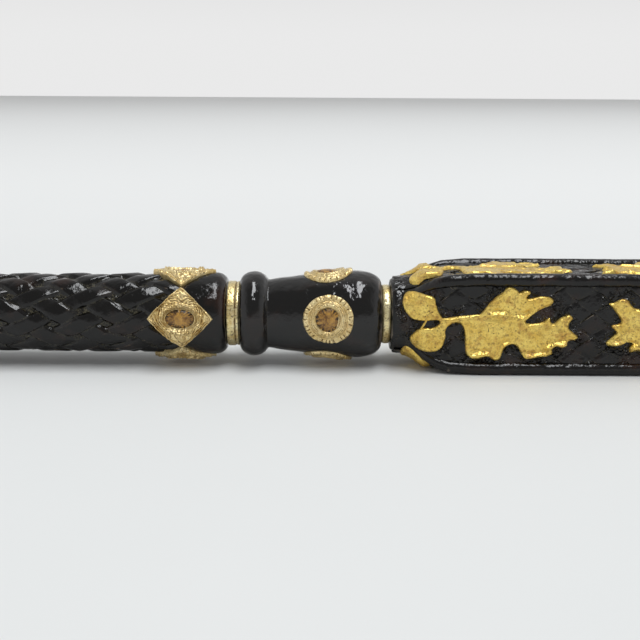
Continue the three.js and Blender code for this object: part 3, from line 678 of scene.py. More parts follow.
def lozenge_plate(number):
    """One plate, wrinkled in its own way"""
    bm = ringed_disc(192, [1 - 0.012 * i for i in range(1, 60)] + [0.27, 0.2, 0.1])
    for v in bm.verts:
        share = v.co.length
        angle = math.atan2(v.co.y, v.co.x)
        reach = oval_reach(
            angle,
            max(np.interp(share, lozenge_shares, lozenge_half_along), 1e-6),
            max(np.interp(share, lozenge_shares, lozenge_half_across), 1e-6),
            np.interp(share, lozenge_shares, lozenge_power),
        )
        along = reach * math.cos(angle)
        across = reach * math.sin(angle)
        spot = Vector((along, across, 7.0 * number))
        wrinkle = math.sin(share * 52 + 7 * unevenness(spot * 0.42) + 9 * math.cos(3 * angle + 0.8 * number))
        petal = abs(math.sin(9 * angle + 3.5 * noise.noise(spot * 0.5))) - 0.6
        fold = 0.3 - abs(unevenness(spot * 0.8))
        grain = noise.fractal(spot * 1.9, 0.9, 2.1, 3)
        relief = 0.17 * wrinkle + 0.16 * petal * (share < 0.62) + 0.3 * fold + 0.07 * grain
        height = np.interp(share, *zip(*lozenge_section)) + band(share, 0.36, 9, 0.985, 30) * relief
        edge_place = Vector((2.4 * math.cos(angle), 2.4 * math.sin(angle), 3.0 * number))
        waver = 1 + 0.03 * share * noise.noise(edge_place)
        v.co = bent(lozenge_centre + along * waver, across * waver, lozenge_bed + height, lozenge_bend)
    face_outwards(bm)
    bmesh.ops.transform(bm, matrix=face_turn(number), verts=bm.verts)
    return bm


for number in (1, 2, 3, 4):
    settle(
        f"lozenge_plate_{number}", lozenge_plate(number), pale_gilt,
        [f"lozenge_setting_{number}"], gain=2.6, crease=60,
    )


# Oval stones: amber-brown glass cabochons, cut low and set into the lozenges on dark foil
def stone_finish(name, light, dark):
    """Amber glass, cloudy inside, with painted shade that darkens its rim where it dips into its setting"""
    material, tree, surface = new_material(name, {"IOR": 1.5, "Metallic": 0.0, "Transmission Weight": 0.1})
    cloudy = stretched(tree, noise_at(tree, 620.0, 6.0, 0.8), 0.36, 0.62)
    colour = between_colours(tree, cloudy, dark, light)
    feed(tree, surface, {
        # painted shade: the stone darkens at its rim where it dips under its setting
        "Base Color": between_colours(tree, written(tree, "stone_rim_shade"), colour, display_colour(44, 30, 14)),
        "Roughness": stretched(tree, cloudy, 0.0, 1.0, 0.4, 0.2),
        "Normal": bumped(tree, noise_at(tree, 900.0, 4.0), 0.45, 0.0004),
    })
    return material


amber_glass = stone_finish("amber_glass", display_colour(204, 156, 76), display_colour(104, 68, 30))


def cabochon(centre, half_along, half_across, base, top, corner, lean):
    """A domed stone over the top face; corner draws a round one towards a rounded triangle"""
    bm = ringed_disc(72, [math.cos(math.pi / 2 * i / 22) for i in range(1, 22)])
    rim = bm.verts.layers.float.new("stone_rim_shade")
    for v in bm.verts:
        share = v.co.length
        angle = math.atan2(v.co.y, v.co.x)
        rim_place = Vector((7 * math.cos(angle), 7 * math.sin(angle), lean + 2 * share))
        ragged = 0.5 * noise.fractal(rim_place, 0.7, 2.0, 3)
        outline_place = Vector((2 * math.cos(angle), lean, 0))
        uneven = 1 + corner * math.cos(3 * angle + lean) + 0.03 * noise.noise(outline_place)
        along = centre + half_along * share * math.cos(angle) * uneven
        across = half_across * share * math.sin(angle) * uneven
        facet = 0.1 * noise.noise(Vector((along / 1.6, across / 1.6, lean)))
        height = base + (top - base) * max(0.0, 1 - share ** 2.4) ** 0.55 + facet * (1 - share)
        # marks the rim for painted shade where the stone dips into its setting
        v[rim] = limited((share + ragged - 0.72) / 0.24)
        v.co = bent(along, across, height, lozenge_bend)
    face_outwards(bm)
    return bm


for number in (1, 2, 3, 4):
    oval = cabochon(
        lozenge_centre, half_along=4.25, half_across=2.7, base=11.3, top=12.25, corner=0.0, lean=number,
    )
    bmesh.ops.transform(oval, matrix=face_turn(number), verts=oval.verts)
    settle(f"oval_stone_{number}", oval, amber_glass, [f"lozenge_stone_{number}"])


# Rings: turned from brass, gilded, and pinched between the sections on the centre rod. The lower
# one is flat, has a groove near its upper edge and cups the barrel's foot; the others are half round.
seam = 0.1
flat_ring_width = 2.4
half_round_width = 2.3
flat_ring_start = shaft_top + seam
flat_ring_cup = 0.9
cup_gap = 0.25
flat_ring_section = [
    (0.01, 8.5), (0.03, 8.8), (0.08, 8.98), (0.2, 9.05), (0.35, 9.02), (0.5, 9.05), (0.6, 9.02), (0.66, 8.94),
    (0.7, 8.72), (0.76, 8.7), (0.8, 8.86), (0.88, 8.96), (0.97, 8.9), (1.0, 8.75),
]
ring_gilt = gilt_finish(
    "ring_gilt", display_colour(250, 238, 190), display_colour(218, 192, 122), display_colour(92, 66, 28),
    pits=0.8, pit_scale=1500.0, flecks=0.9, dirt=1.2, shade=0.3, bump_height=0.0003,
)


def gilt_ring(name, start, width, cup, section, node):
    """A ring from its section's shares, whose rim may cup the piece above it by some millimetres"""
    outer = [(start + share * (width + cup), radius) for share, radius in section]
    cup_radius = outer[-1][1] - cup_gap
    inner = [(start + width + cup, cup_radius), (start + width, cup_radius)] if cup else []
    profile = [(start, bore_radius)] + outer + inner + [(start + width, bore_radius), (start, bore_radius)]
    bm = turned_body((profile, 128))
    for v in bm.verts:
        if v.co.yz.length > bore_radius + 1:
            v.co.yz = v.co.yz * (1 + 0.0045 * unevenness(v.co * 0.7, 3))
    settle(name, bm, ring_gilt, [node], gain=3.0, crease=35)


gilt_ring("flat_ring", flat_ring_start, flat_ring_width, flat_ring_cup, flat_ring_section, "lower_ring")


# The barrel: black lacquered wood turned with a bead and a narrow waist at its lower end, then
# swelling to its greatest width under the round settings. The centre rod passes through it.
barrel_start = flat_ring_start + flat_ring_width + seam
barrel_length = 40.1
barrel_end = barrel_start + barrel_length
barrel_half = 12.15
barrel_shares = [
    (0, 0.69), (0.02, 0.692), (0.026, 0.79), (0.045, 0.885), (0.08, 0.948), (0.12, 0.97), (0.16, 0.948),
    (0.19, 0.893), (0.212, 0.815), (0.23, 0.79), (0.32, 0.838), (0.5, 0.907), (0.66, 0.958), (0.81, 1),
    (0.88, 0.982), (0.93, 0.945), (0.962, 0.893), (0.984, 0.828), (0.996, 0.76), (1, 0.69),
]
barrel_line = eased([(barrel_start + a * barrel_length, r * barrel_half) for a, r in barrel_shares], 7)
barrel_places = [p.x for p in barrel_line]
barrel_radii = [p.y for p in barrel_line]
end_sheen_and_wear_reach = 1.3


def barrel_radius(along):
    return float(np.interp(along, barrel_places, barrel_radii))


barrel = turned_body((
    [(barrel_start, bore_radius)] + [tuple(p) for p in barrel_line]
    + [(barrel_end, bore_radius), (barrel_start, bore_radius)],
    128,
))
# the barrel's ends are marked as worn edges: partly real wear, partly a painted sheen at the shoulders
end_sheen_and_wear = barrel.verts.layers.float.new("edge")
for v in barrel.verts:
    from_end = min(v.co.x - barrel_start, barrel_end - v.co.x)
    v[end_sheen_and_wear] = 0.95 * math.exp(-(from_end / end_sheen_and_wear_reach) ** 2)
    if v.co.yz.length > bore_radius + 1:
        v.co.yz = v.co.yz * (1 + 0.006 * unevenness((v.co.x / 4, v.co.y / 5, v.co.z / 5)))
# the worn colour here is partly wear and partly painted sheen at the barrel's ends
barrel_lacquer = lacquer_finish(
    "barrel_lacquer", lumps=1.0, ragged=0.35, grit=0.03, satin=0.7, reach=0.34, dust=0.4, brown=0.5,
    edge_wear_and_glint=display_colour(96, 86, 76), ior=1.5,
)
settle("turned_barrel", barrel, barrel_lacquer, ["barrel"], gain=4.0)


# Round settings: four gilded castings that follow the barrel's swell, each with an outer rim cut
# by radial strokes, a groove, and an inner ring round a stone. They are glued into shallow beds.
round_centre = barrel_start + 25.3
round_bend = 11.5
round_shares = [
    0, 0.44, 0.47, 0.50, 0.54, 0.58, 0.62, 0.66, 0.70, 0.73, 0.76, 0.79, 0.84, 0.90, 0.95, 0.98, 1,
]
round_radii = [0, 3.05, 3.25, 3.45, 3.75, 4.1, 4.4, 4.7, 4.95, 5.12, 5.28, 5.5, 5.85, 6.3, 6.65, 6.85, 6.9]
round_heights = [
    0.2, 0.25, 0.5, 0.75, 0.98, 1.02, 0.92, 0.66, 0.45, 0.36, 0.5, 0.66, 0.76, 0.8, 0.62, 0.25, -0.7,
]


def round_plate(number):
    """One casting, with its strokes spaced by hand"""
    bm = ringed_disc(168, [1 - 0.014 * i for i in range(1, 46)] + [0.32, 0.24, 0.12])
    for v in bm.verts:
        share = v.co.length
        angle = math.atan2(v.co.y, v.co.x)
        radius = np.interp(share, round_shares, round_radii)
        spot = Vector((radius * math.cos(angle), radius * math.sin(angle), 9.0 * number))
        drift = noise.noise(Vector((2.2 * math.cos(angle), 2.2 * math.sin(angle), number)))
        grain = 0.16 * noise.fractal(spot * 1.7, 0.9, 2.1, 4)
        stroke = 0.42 * max(0.0, math.sin(26 * angle + 6 * drift + 2 * share)) ** 4
        ripple = 0.09 * math.sin(share * 95 + 3 * drift)
        height = np.interp(share, round_shares, round_heights)
        height += band(share, 0.77, 22, 0.985, 30) * (grain - stroke)
        height += band(share, 0.5, 20, 0.72, 20) * (ripple + grain)
        lopsided = 1 + 0.018 * drift + 0.008 * noise.noise(spot * 0.8) * share
        along = round_centre + radius * lopsided * math.cos(angle)
        across = radius * lopsided * math.sin(angle)
        v.co = bent(along, across, barrel_radius(along) + height, round_bend)
    face_outwards(bm)
    bmesh.ops.transform(bm, matrix=face_turn(number), verts=bm.verts)
    return bm


for number in (1, 2, 3, 4):
    settle(
        f"round_plate_{number}", round_plate(number), pale_gilt,
        [f"round_setting_{number}"], gain=2.6, crease=60,
    )
    pebble = cabochon(
        round_centre, half_along=3.3, half_across=3.3, base=11.6, top=12.5, corner=0.07, lean=1.9 + number,
    )
    bmesh.ops.transform(pebble, matrix=face_turn(number), verts=pebble.verts)
    settle(f"round_pebble_{number}", pebble, amber_glass, [f"round_stone_{number}"])


# The upper ring closes the barrel against the grip's neck, and its twin lies under the pommel
upper_ring_start = barrel_end + seam
grip_start = upper_ring_start + half_round_width + seam
grip_length = 107
grip_end = grip_start + grip_length
pommel_ring_start = grip_end + seam
half_round_section = [
    (0.01, 0.955), (0.05, 0.975), (0.15, 0.989), (0.3, 0.997), (0.5, 1), (0.7, 0.997), (0.85, 0.989),
    (0.95, 0.975), (0.99, 0.955),
]
for name, start, ring_radius, node in (
    ("half_round_ring", upper_ring_start, 8.25, "upper_ring"),
    ("ring_under_pommel", pommel_ring_start, 8.8, "pommel_ring"),
):
    section = [(share, ring_radius * rise) for share, rise in half_round_section]
    gilt_ring(name, start, half_round_width, 0, section, node)


# The grip: a square block of hardwood that grows out of a round neck at either end. A raised round
# bead runs along each edge, and the panels between them are cut as a basket weave of flat straps.
grip_middle = (grip_start + grip_end) / 2
grip_half = 13.9
neck_radius = 10.3
shoulder_length = 22
shoulder_places = [0, 0.18, 0.28, 0.39, 0.53, 0.7, 1]
shoulder_rises = [0, 0.08, 0.28, 0.58, 0.82, 0.94, 1]
shoulder_rounds = [1, 1, 0.9, 0.55, 0.25, 0.08, 0]
bead_radius = 1.75
bead_centre = grip_half - bead_radius
panel_half = 10.45
panel_turn = 38
ground_half = 12.4


def shoulder(along):
    """Half side and roundness of the grip at a place along it"""
    share = min(along - grip_start, grip_end - along) / shoulder_length
    rise = float(np.interp(share, shoulder_places, shoulder_rises))
    roundness = float(np.interp(share, shoulder_places, shoulder_rounds))
    return neck_radius + rise * (grip_half - neck_radius), roundness


def panel_point(along, share, lift):
    """A point on a face's sunk ground, from one bead, share -1, to the other, share 1"""
    half, roundness = shoulder(along)
    angle = math.radians(panel_turn) * share
    on_round = half * Vector((math.sin(angle), math.cos(angle)))
    on_square = half / grip_half * Vector((panel_half * share, ground_half))
    place = on_square.lerp(on_round, roundness)
    out = Vector((0, 1)).lerp(place.normalized(), roundness)
    place = place + out.normalized() * lift
    return Vector((along, place.x, place.y))


def bead_point(along, turn):
    """A point on the bead between two faces, from one panel, turn 0, round to the next, turn 1"""
    half, roundness = shoulder(along)
    angle = math.radians(172 - 254 * turn)
    on_square = half / grip_half * Vector((
        bead_centre + bead_radius * math.cos(angle), bead_centre + bead_radius * math.sin(angle),
    ))
    round_angle = math.radians(panel_turn + (90 - 2 * panel_turn) * turn)
    on_round = half * Vector((math.sin(round_angle), math.cos(round_angle)))
    place = on_square.lerp(on_round, roundness)
    return Vector((along, place.x, place.y))


def grip_skin():
    """The grip's body with its ends, beads and plain panels"""
    panel_steps = 10
    bead_steps = 14
    quarter = panel_steps + bead_steps
    stations = [grip_start + 0.02, grip_start + 0.25, grip_start + 0.6]
    stations += list(np.linspace(grip_start + 1.2, grip_end - 1.2, 150))
    stations += [grip_end - 0.6, grip_end - 0.25, grip_end - 0.02]
    bm = bmesh.new()
    bmesh.ops.create_grid(bm, x_segments=len(stations) - 1, y_segments=4 * quarter, size=1)
    for v in bm.verts:
        along = stations[round((v.co.x + 1) / 2 * (len(stations) - 1))]
        step = round((v.co.y + 1) / 2 * 4 * quarter) % (4 * quarter)
        face, place = divmod(step, quarter)
        if place < panel_steps:
            point = panel_point(along, 2 * place / panel_steps - 1, -0.15)
        else:
            point = bead_point(along, (place - panel_steps) / bead_steps)
        waver = unevenness((along / 5, point.y / 4 + 9 * face, point.z / 4))
        ease = limited(min(along - grip_start, grip_end - along))
        point.yz = point.yz * (0.94 + 0.06 * math.sqrt(ease) + 0.004 * waver)
        v.co = Matrix.Rotation(-math.pi / 2 * face, 3, "X") @ point
    bmesh.ops.remove_doubles(bm, verts=bm.verts, dist=0.0005)
    for end, facing in ((grip_start, -1), (grip_end, 1)):
        rim = [e for e in bm.edges if e.is_boundary and abs(e.verts[0].co.x - end) < 0.1]
        inward = bmesh.ops.extrude_edge_only(bm, edges=rim)["geom"]
        for v in [g for g in inward if isinstance(g, bmesh.types.BMVert)]:
            v.co = Vector((end - facing * 0.02, *(v.co.yz.normalized() * bore_radius)))
    face_outwards(bm)
    return bm


strap_slope = math.radians(35)
strap_spacing = 5.3
strap_half = 0.45
strap_lines = [0, 0.16, 0.29, 0.38, 0.43, 0.45, 0.47, 0.53, 0.55, 0.57, 0.62, 0.71, 0.84]
strap_dip = 0.3
groove_depth = 0.85
weave_cells = 16


def weave_skin(face):
    """The woven ground of one face, laid flat"""
    bm = bmesh.new()
    rising, falling = strand_grid(bm, (weave_cells, weave_cells), strap_lines)
    rising = rising - weave_cells / 2
    falling = falling - weave_cells / 2
    along = (rising + falling) * strap_spacing / 2 / math.sin(strap_slope)
    across = (rising - falling) * strap_spacing / 2 / math.cos(strap_slope)

    def strap(line, tile, beside, onward, top, shift):
        """One set of straps; each tile of it leans its own way, along it and across it"""
        share = np.abs(beside) / strap_half
        crown = 0.05 * share ** 2 + 0.14 * np.clip((share - 0.84) / 0.16, 0, 1) ** 2
        lean = 0.75 * scattered(line + shift + face, tile) * beside
        lean += 0.22 * scattered(tile, line + shift - face) * onward
        return np.where(share <= 1.001, strap_dip * (np.clip(1.8 * top, -1, 1) - 1) - crown + lean, nowhere)

    rising_set, falling_set = crossing_sets(rising, falling)
    height = np.maximum(np.maximum(strap(*rising_set, 0), strap(*falling_set, 0.5)), -groove_depth)
    for v, x, y, h in zip(bm.verts, along, across, height):
        v.co = (x, y, h)
    half_run = grip_length / 2 - 0.8
    trim(bm, (
        ((half_run, 0, 0), (1, 0, 0)), ((-half_run, 0, 0), (-1, 0, 0)),
        ((0, panel_half, 0), (0, 1, 0)), ((0, -panel_half, 0), (0, -1, 0)),
    ))
    return bm


# The outlines of the sprays, in shares of their length and half width. The lacquer has piled up
# against them and crusted, so the woven ground follows them too.
spray_start = 2.7
spray_length = 46.9
spray_half_width = 10.5
spray_size = (spray_length, spray_half_width)
stem_and_acorns = [
    (0.682, -0.75), (0.657, -0.55), (0.623, -0.49), (0.588, -0.58), (0.571, -0.76), (0.559, -0.9),
    (0.529, -0.93), (0.484, -0.82), (0.431, -0.9), (0.386, -0.85), (0.362, -0.7), (0.356, -0.34),
    (0.348, -0.09), (0.322, 0.04), (0.29, 0.04), (0.256, -0.05), (0.243, -0.17), (0.245, -0.34),
    (0.226, -0.59), (0.192, -0.7), (0.136, -0.72), (0.081, -0.65), (0.045, -0.44), (0.066, -0.25),
    (0.111, -0.1), (0.162, -0.1), (0.2, -0.02), (0.211, 0.06), (0.192, 0.12), (0.136, 0.1),
    (0.064, 0.11), (0.021, 0.27), (0, 0.51), (0.021, 0.72), (0.064, 0.78), (0.132, 0.75),
    (0.175, 0.69), (0.186, 0.51), (0.198, 0.36), (0.22, 0.2), (0.241, 0.17), (0.32, 0.23),
    (0.412, 0.27), (0.444, 0.31), (0.488, 0.57), (0.52, 0.72),
]
lower_leaf = [
    (0.563, 0.87), (0.582, 0.98), (0.614, 0.99), (0.64, 0.92), (0.657, 0.85), (0.682, 0.9),
    (0.712, 0.89), (0.719, 0.83), (0.699, 0.74), (0.708, 0.69), (0.768, 0.75), (0.823, 0.74),
    (0.851, 0.65), (0.84, 0.53), (0.793, 0.44), (0.733, 0.28), (0.701, 0.14), (0.708, 0.05),
    (0.753, 0.05), (0.797, 0.09), (0.834, 0.21), (0.84, 0.1), (0.861, 0.05), (0.891, 0.18),
    (0.923, 0.25), (0.947, 0.28), (0.966, 0.18), (0.949, 0.05), (0.947, -0.08), (0.974, -0.19),
    (1, -0.3), (0.985, -0.39), (0.949, -0.41), (0.938, -0.54), (0.913, -0.59), (0.878, -0.54),
    (0.859, -0.63), (0.859, -0.75), (0.832, -0.8), (0.774, -0.83), (0.712, -0.88),
]
upper_leaf = [
    (0.559, 0.87), (0.584, 0.98), (0.618, 0.89), (0.644, 0.82), (0.674, 0.91), (0.721, 0.86),
    (0.746, 0.67), (0.742, 0.44), (0.776, 0.38), (0.821, 0.44), (0.855, 0.47), (0.878, 0.57),
    (0.896, 0.68), (0.93, 0.7), (0.974, 0.6), (1, 0.57), (0.979, 0.47), (0.934, 0.21),
    (0.923, 0.1), (0.94, 0.05), (0.974, 0.01), (0.97, -0.06), (0.945, -0.18), (0.962, -0.27),
    (1, -0.43), (0.991, -0.52), (0.951, -0.54), (0.923, -0.51), (0.885, -0.44), (0.855, -0.44),
    (0.849, -0.48), (0.866, -0.58), (0.861, -0.69), (0.821, -0.67), (0.78, -0.7), (0.746, -0.85),
    (0.704, -0.9),
]


def spray_outline(leaf, steps):
    """A smooth closed line round one spray, in millimetres"""
    ring = np.array(stem_and_acorns + leaf) * spray_size
    neighbours = (np.roll(ring, 1, 0), ring, np.roll(ring, -1, 0), np.roll(ring, -2, 0))
    parts = [on_curve(*neighbours, step / steps) for step in range(steps)]
    return np.stack(parts, 1).reshape(-1, 2)


def nearest_on_line(points, line, closed):
    """Distance from each point to a line of straight parts, and the nearest place on it"""
    starts = line if closed else line[:-1]
    ends = np.roll(line, -1, 0) if closed else line[1:]
    best = np.full(len(points), 1e9)
    nearest = np.zeros_like(points)
    for start, end in zip(starts, ends):
        run = end - start
        share = np.clip(((points - start) @ run) / max(run @ run, 1e-12), 0, 1)
        spot = start + share[:, None] * run
        gap = np.linalg.norm(points - spot, axis=1)
        closer = gap < best
        best[closer] = gap[closer]
        nearest[closer] = spot[closer]
    return best, nearest


def weave_on_face(face):
    """Lays a woven skin on its face of the grip, and piles lacquer up against the sprays"""
    bm = weave_skin(face)
    spots = np.array([v.co[:2] for v in bm.verts])
    near_leaf = np.zeros(len(spots))
    for leaf, way in ((lower_leaf, 1), (upper_leaf, -1)):
        line = (spray_outline(leaf, 2) + (spray_start - grip_length / 2, 0)) * (way, 1)
        gap = nearest_on_line(spots, line, True)[0]
        near_leaf = np.maximum(near_leaf, np.exp(-(gap / 1.7) ** 2))
    crust = bm.verts.layers.float.new("crust")
    for v, near in zip(bm.verts, near_leaf):
        along = grip_middle + v.co.x
        rough = unevenness((along / 1.5, v.co.y / 1.5, 4.0 * face), 3)
        lumps = unevenness((along / 4, v.co.y / 4, 7.0 * face))
        from_end = min(along - grip_start, grip_end - along)
        woven = max(0.35, limited((from_end - 4) / 16))
        level = woven * v.co.z - (1 - woven) * 0.2 + (1.2 - woven) * 0.3 * lumps
        v[crust] = near * limited(0.5 + 2.4 * lumps)
        level = level * (1 - 0.5 * near) + 0.12 * v[crust] * rough
        v.co = panel_point(along, v.co.y / panel_half, min(level, 0.1) + 0.4 + 0.05 * rough)
    bmesh.ops.transform(bm, matrix=Matrix.Rotation(math.pi / 2 * (face - 1), 4, "X"), verts=bm.verts)
    face_outwards(bm)
    return bm


grip = grip_skin()
for face in (1, 2, 3, 4):
    take_in(grip, weave_on_face(face))
# the worn colour on the beads and strap edges is partly real wear, partly painted highlight
grip_lacquer = lacquer_finish(
    "grip_lacquer", lumps=1.4, ragged=0.8, grit=0.04, satin=0.9, reach=0.34, dust=0.5, brown=1.0,
    edge_wear_and_glint=display_colour(126, 116, 104), ior=1.43,
)
settle("carved_grip", grip, grip_lacquer, ["grip"], gain=5.0, crease=30)


# Leaf sprays: an oak leaf and two acorns, cast, gilded with yellow leaf, and glued to each face of
# the grip, one from its lower end and one from its upper end, tip to tip. Their edges are rounded,
# the leaf has ribs to its lobes, and the gilding is pitted and brown in its pores.
leaf_ribs = [
    (0.12, [(0.27, 0.1), (0.38, 0.12), (0.5, 0.1), (0.64, 0.0), (0.8, -0.12), (0.95, -0.22)]),
    (0.12, [(0.42, 0.18), (0.5, 0.3), (0.58, 0.26), (0.7, 0.24), (0.83, 0.42)]),
    (0.1, [(0.46, 0.24), (0.54, 0.5), (0.6, 0.85)]),
    (0.1, [(0.42, 0.1), (0.4, -0.3), (0.4, -0.76)]),
    (0.08, [(0.5, 0.06), (0.53, -0.4), (0.54, -0.82)]),
    (0.1, [(0.62, -0.02), (0.7, -0.4), (0.73, -0.78)]),
    (0.14, [(0.72, -0.08), (0.8, -0.4), (0.84, -0.7)]),
    (0.1, [(0.82, -0.14), (0.88, 0.0), (0.93, 0.18)]),
]
leaf_folds = [
    (1.0, [(0.4, -0.75), (0.486, -0.73)]),
    (0.7, [(0.577, -0.5), (0.64, -0.47)]),
    (0.9, [(0.686, -0.8), (0.823, -0.74)]),
    (1.0, [(0.834, -0.5), (0.946, -0.43)]),
    (0.8, [(0.5, 0.32), (0.58, 0.31)]),
    (1.0, [(0.587, 0.2), (0.709, 0.25)]),
    (1.0, [(0.718, 0.3), (0.832, 0.44)]),
]
spray_thickness = 1.5
spray_grid = 0.2
spray_foot = -0.55
fold_height = 0.52
acorn_reach = 0.24
acorn_joint = np.array((0.205, 0.05)) * spray_size


def inside_line(points, line):
    """True for the points inside a closed line"""
    inside = np.zeros(len(points), dtype=bool)
    for (x1, y1), (x2, y2) in zip(line, np.roll(line, -1, 0)):
        if y1 == y2:
            continue
        crosses = (y1 > points[:, 1]) != (y2 > points[:, 1])
        inside ^= crosses & (points[:, 0] < (x2 - x1) * (points[:, 1] - y1) / (y2 - y1) + x1)
    return inside


def level_over_grip(along, across, growth):
    """Height over the axis of the grip's surface at its ground, grown by some millimetres"""
    half, roundness = shoulder(along)
    half = min(half, ground_half) + growth
    corner = 2 + roundness * (half - 0.3 - 2)
    beyond = abs(across) - (half - corner)
    if beyond <= 0:
        return half
    return half - corner + math.sqrt(max(corner ** 2 - beyond ** 2, 0.0))


def cut_spray(line):
    """A grid cut to a spray's outline, with its border moved onto the line"""
    half_along = spray_length / 2 + 0.6
    half_across = spray_half_width + 0.6
    bm = bmesh.new()
    bmesh.ops.create_grid(
        bm, x_segments=int(2 * half_along / spray_grid), y_segments=int(2 * half_across / spray_grid), size=1,
    )
    places = np.array([v.co[:2] for v in bm.verts]) * (half_along, half_across) + (spray_length / 2, 0)
    gap = nearest_on_line(places, line, True)[0]
    depth = np.where(inside_line(places, line), gap, -gap)
    for v, place in zip(bm.verts, places):
        v.co = (place[0], place[1], 0)
    outside = [v for v, deep in zip(bm.verts, depth) if deep <= -0.3 * spray_grid]
    bmesh.ops.delete(bm, geom=outside, context="VERTS")
    bmesh.ops.delete(bm, geom=[v for v in bm.verts if not v.link_faces], context="VERTS")
    places = np.array([v.co[:2] for v in bm.verts])
    for v, spot in zip(bm.verts, nearest_on_line(places, line, True)[1]):
        if v.is_boundary:
            v.co.xy = spot
    return bm


def spray_relief(places, line, seed):
    """Height of a spray over its ground, with a rounded edge, ribs, folds, dents and acorn cups"""
    gap, nearest = nearest_on_line(places, line, True)
    along_share = places[:, 0] / spray_length
    rounding = np.interp(along_share, [0, 0.19, 0.27, 1], [3.2, 2.8, 2.0, 1.7])
    rise = 1 - (1 - np.clip(gap / rounding, 0, 1)) ** 2
    height = 0.46 + 0.26 * np.sqrt(np.clip(gap / 0.35, 0, 1)) + 0.2 * rise

    rim_run = np.array([unevenness((x * 0.35, y * 0.35, seed + 40.0)) for x, y in nearest])
    rim_height = np.where(along_share > 0.26, 0.26 * np.clip(0.85 + 1.1 * rim_run, 0.1, 1.1), 0.08)
    height += rim_height * np.exp(-((gap - 0.65) / 0.4) ** 2)
    for strength, rib in leaf_ribs:
        beside = nearest_on_line(places, np.array(rib) * spray_size, False)[0]
        ridge = np.exp(-(beside / 0.5) ** 2) - 0.6 * np.exp(-((beside - 1.2) / 0.6) ** 2)
        height += strength * ridge * rise

    swell = np.array([unevenness((x * 0.45, y * 0.45, seed)) for x, y in places])
    for strength, fold in leaf_folds:
        spot = nearest_on_line(places, np.array(fold) * spray_size, False)[1]
        beyond_end = np.abs(places[:, 0] - spot[:, 0])
        below = spot[:, 1] - places[:, 1] + 0.35 * swell
        climb = np.clip(below / 0.6, -0.75, 1)
        climb *= np.exp(-(np.clip(np.abs(below) - 0.6, 0, None) / 0.7) ** 2)
        climb *= np.exp(-(beyond_end / 0.7) ** 2)
        height += fold_height * strength * climb
    curl = np.clip((np.abs(places[:, 1]) / spray_half_width - 0.5) / 0.4, 0, 1)
    height += np.where(along_share > 0.3, 0.12 * curl, 0)

    from_joint = np.linalg.norm(places - acorn_joint, axis=1)
    in_acorns = along_share < acorn_reach
    cup_line = np.exp(-((from_joint - 3.6) / 0.22) ** 2)
    height -= np.where(in_acorns, 0.12 * cup_line, 0)
    hatch = np.sin(3.4 * (places[:, 0] + places[:, 1])) * np.sin(3.4 * (places[:, 0] - places[:, 1]))
    height += np.where(in_acorns & (from_joint < 3.5) & (from_joint > 1), 0.04 * hatch, 0)
    crumple = np.array([unevenness((x * 1.5, y * 1.5, seed), 3) for x, y in places])
    height += 0.12 * swell + np.where(in_acorns, 0.16, 0.07) * crumple
    return np.clip(height, 0.35, 1.47)


def leaf_spray(leaf, points_up, seed):
    """One spray over the top face: cut to its outline, raised, and walled down into the ground"""
    line = spray_outline(leaf, 4)
    bm = cut_spray(line)
    heights = spray_relief(np.array([v.co[:2] for v in bm.verts]), line, seed)
    relief = dict(zip(bm.verts, heights))
    for v in bmesh.ops.create_uvsphere(bm, u_segments=16, v_segments=10, radius=1)["verts"]:
        relief[v] = 0.45 + 0.4 * v.co.z
        waver = 0.35 * noise.noise(Vector((1.4 * v.co.y, seed, 0)))
        v.co = (5.6 + 0.36 * v.co.x + 0.9 * v.co.y + waver, 1.5 * v.co.y, 0)
    rim = [e for e in bm.edges if e.is_boundary]
    for g in bmesh.ops.extrude_edge_only(bm, edges=rim)["geom"]:
        if isinstance(g, bmesh.types.BMVert):
            relief[g] = spray_foot
    for v in bm.verts:
        run = spray_start + v.co.x
        along = grip_start + run if points_up else grip_end - run
        low = level_over_grip(along, v.co.y, 0)
        high = level_over_grip(along, v.co.y, spray_thickness)
        v.co = (along, v.co.y, low + relief[v] / spray_thickness * (high - low))
    face_outwards(bm)
    return bm


yellow_gilt = gilt_finish(
    "yellow_gilt", display_colour(253, 224, 120), display_colour(232, 193, 86), display_colour(106, 68, 24),
    pits=0.9, pit_scale=1500.0, flecks=0.6, dirt=0.9, shade=0.6, bump_height=0.0004,
)
sprays = (("lower", lower_leaf, True, 0), ("upper", upper_leaf, False, 10))
for number in (1, 2, 3, 4):
    for end, leaf, points_up, first_seed in sprays:
        spray = leaf_spray(leaf, points_up, first_seed + number)
        bmesh.ops.transform(spray, matrix=face_turn(number, 0), verts=spray.verts)
        settle(
            f"{end}_oak_spray_{number}", spray, yellow_gilt,
            [f"{end}_leaf_spray_{number}"], gain=2.2, crease=55,
        )


# The pommel: lacquered wood, turned with a bead at its neck that is carved as a rope, and a round
# head. It is screwed onto the grip by a steel stud.
pommel_start = pommel_ring_start + half_round_width + seam
pommel_length = 34
pommel_end = pommel_start + pommel_length
pommel_half = 13.25
stud_bore = 3.2
plate_bed_radius = 7.15
plate_bed = pommel_end - 2
pommel_shares = [
    (0, 0.69), (0.03, 0.75), (0.06, 0.77), (0.1, 0.775), (0.135, 0.765), (0.165, 0.75), (0.195, 0.755),
    (0.24, 0.77), (0.38, 0.865), (0.54, 0.96), (0.68, 1), (0.8, 0.975), (0.9, 0.89), (0.96, 0.79), (1, 0.67),
]
rope_turns = 10

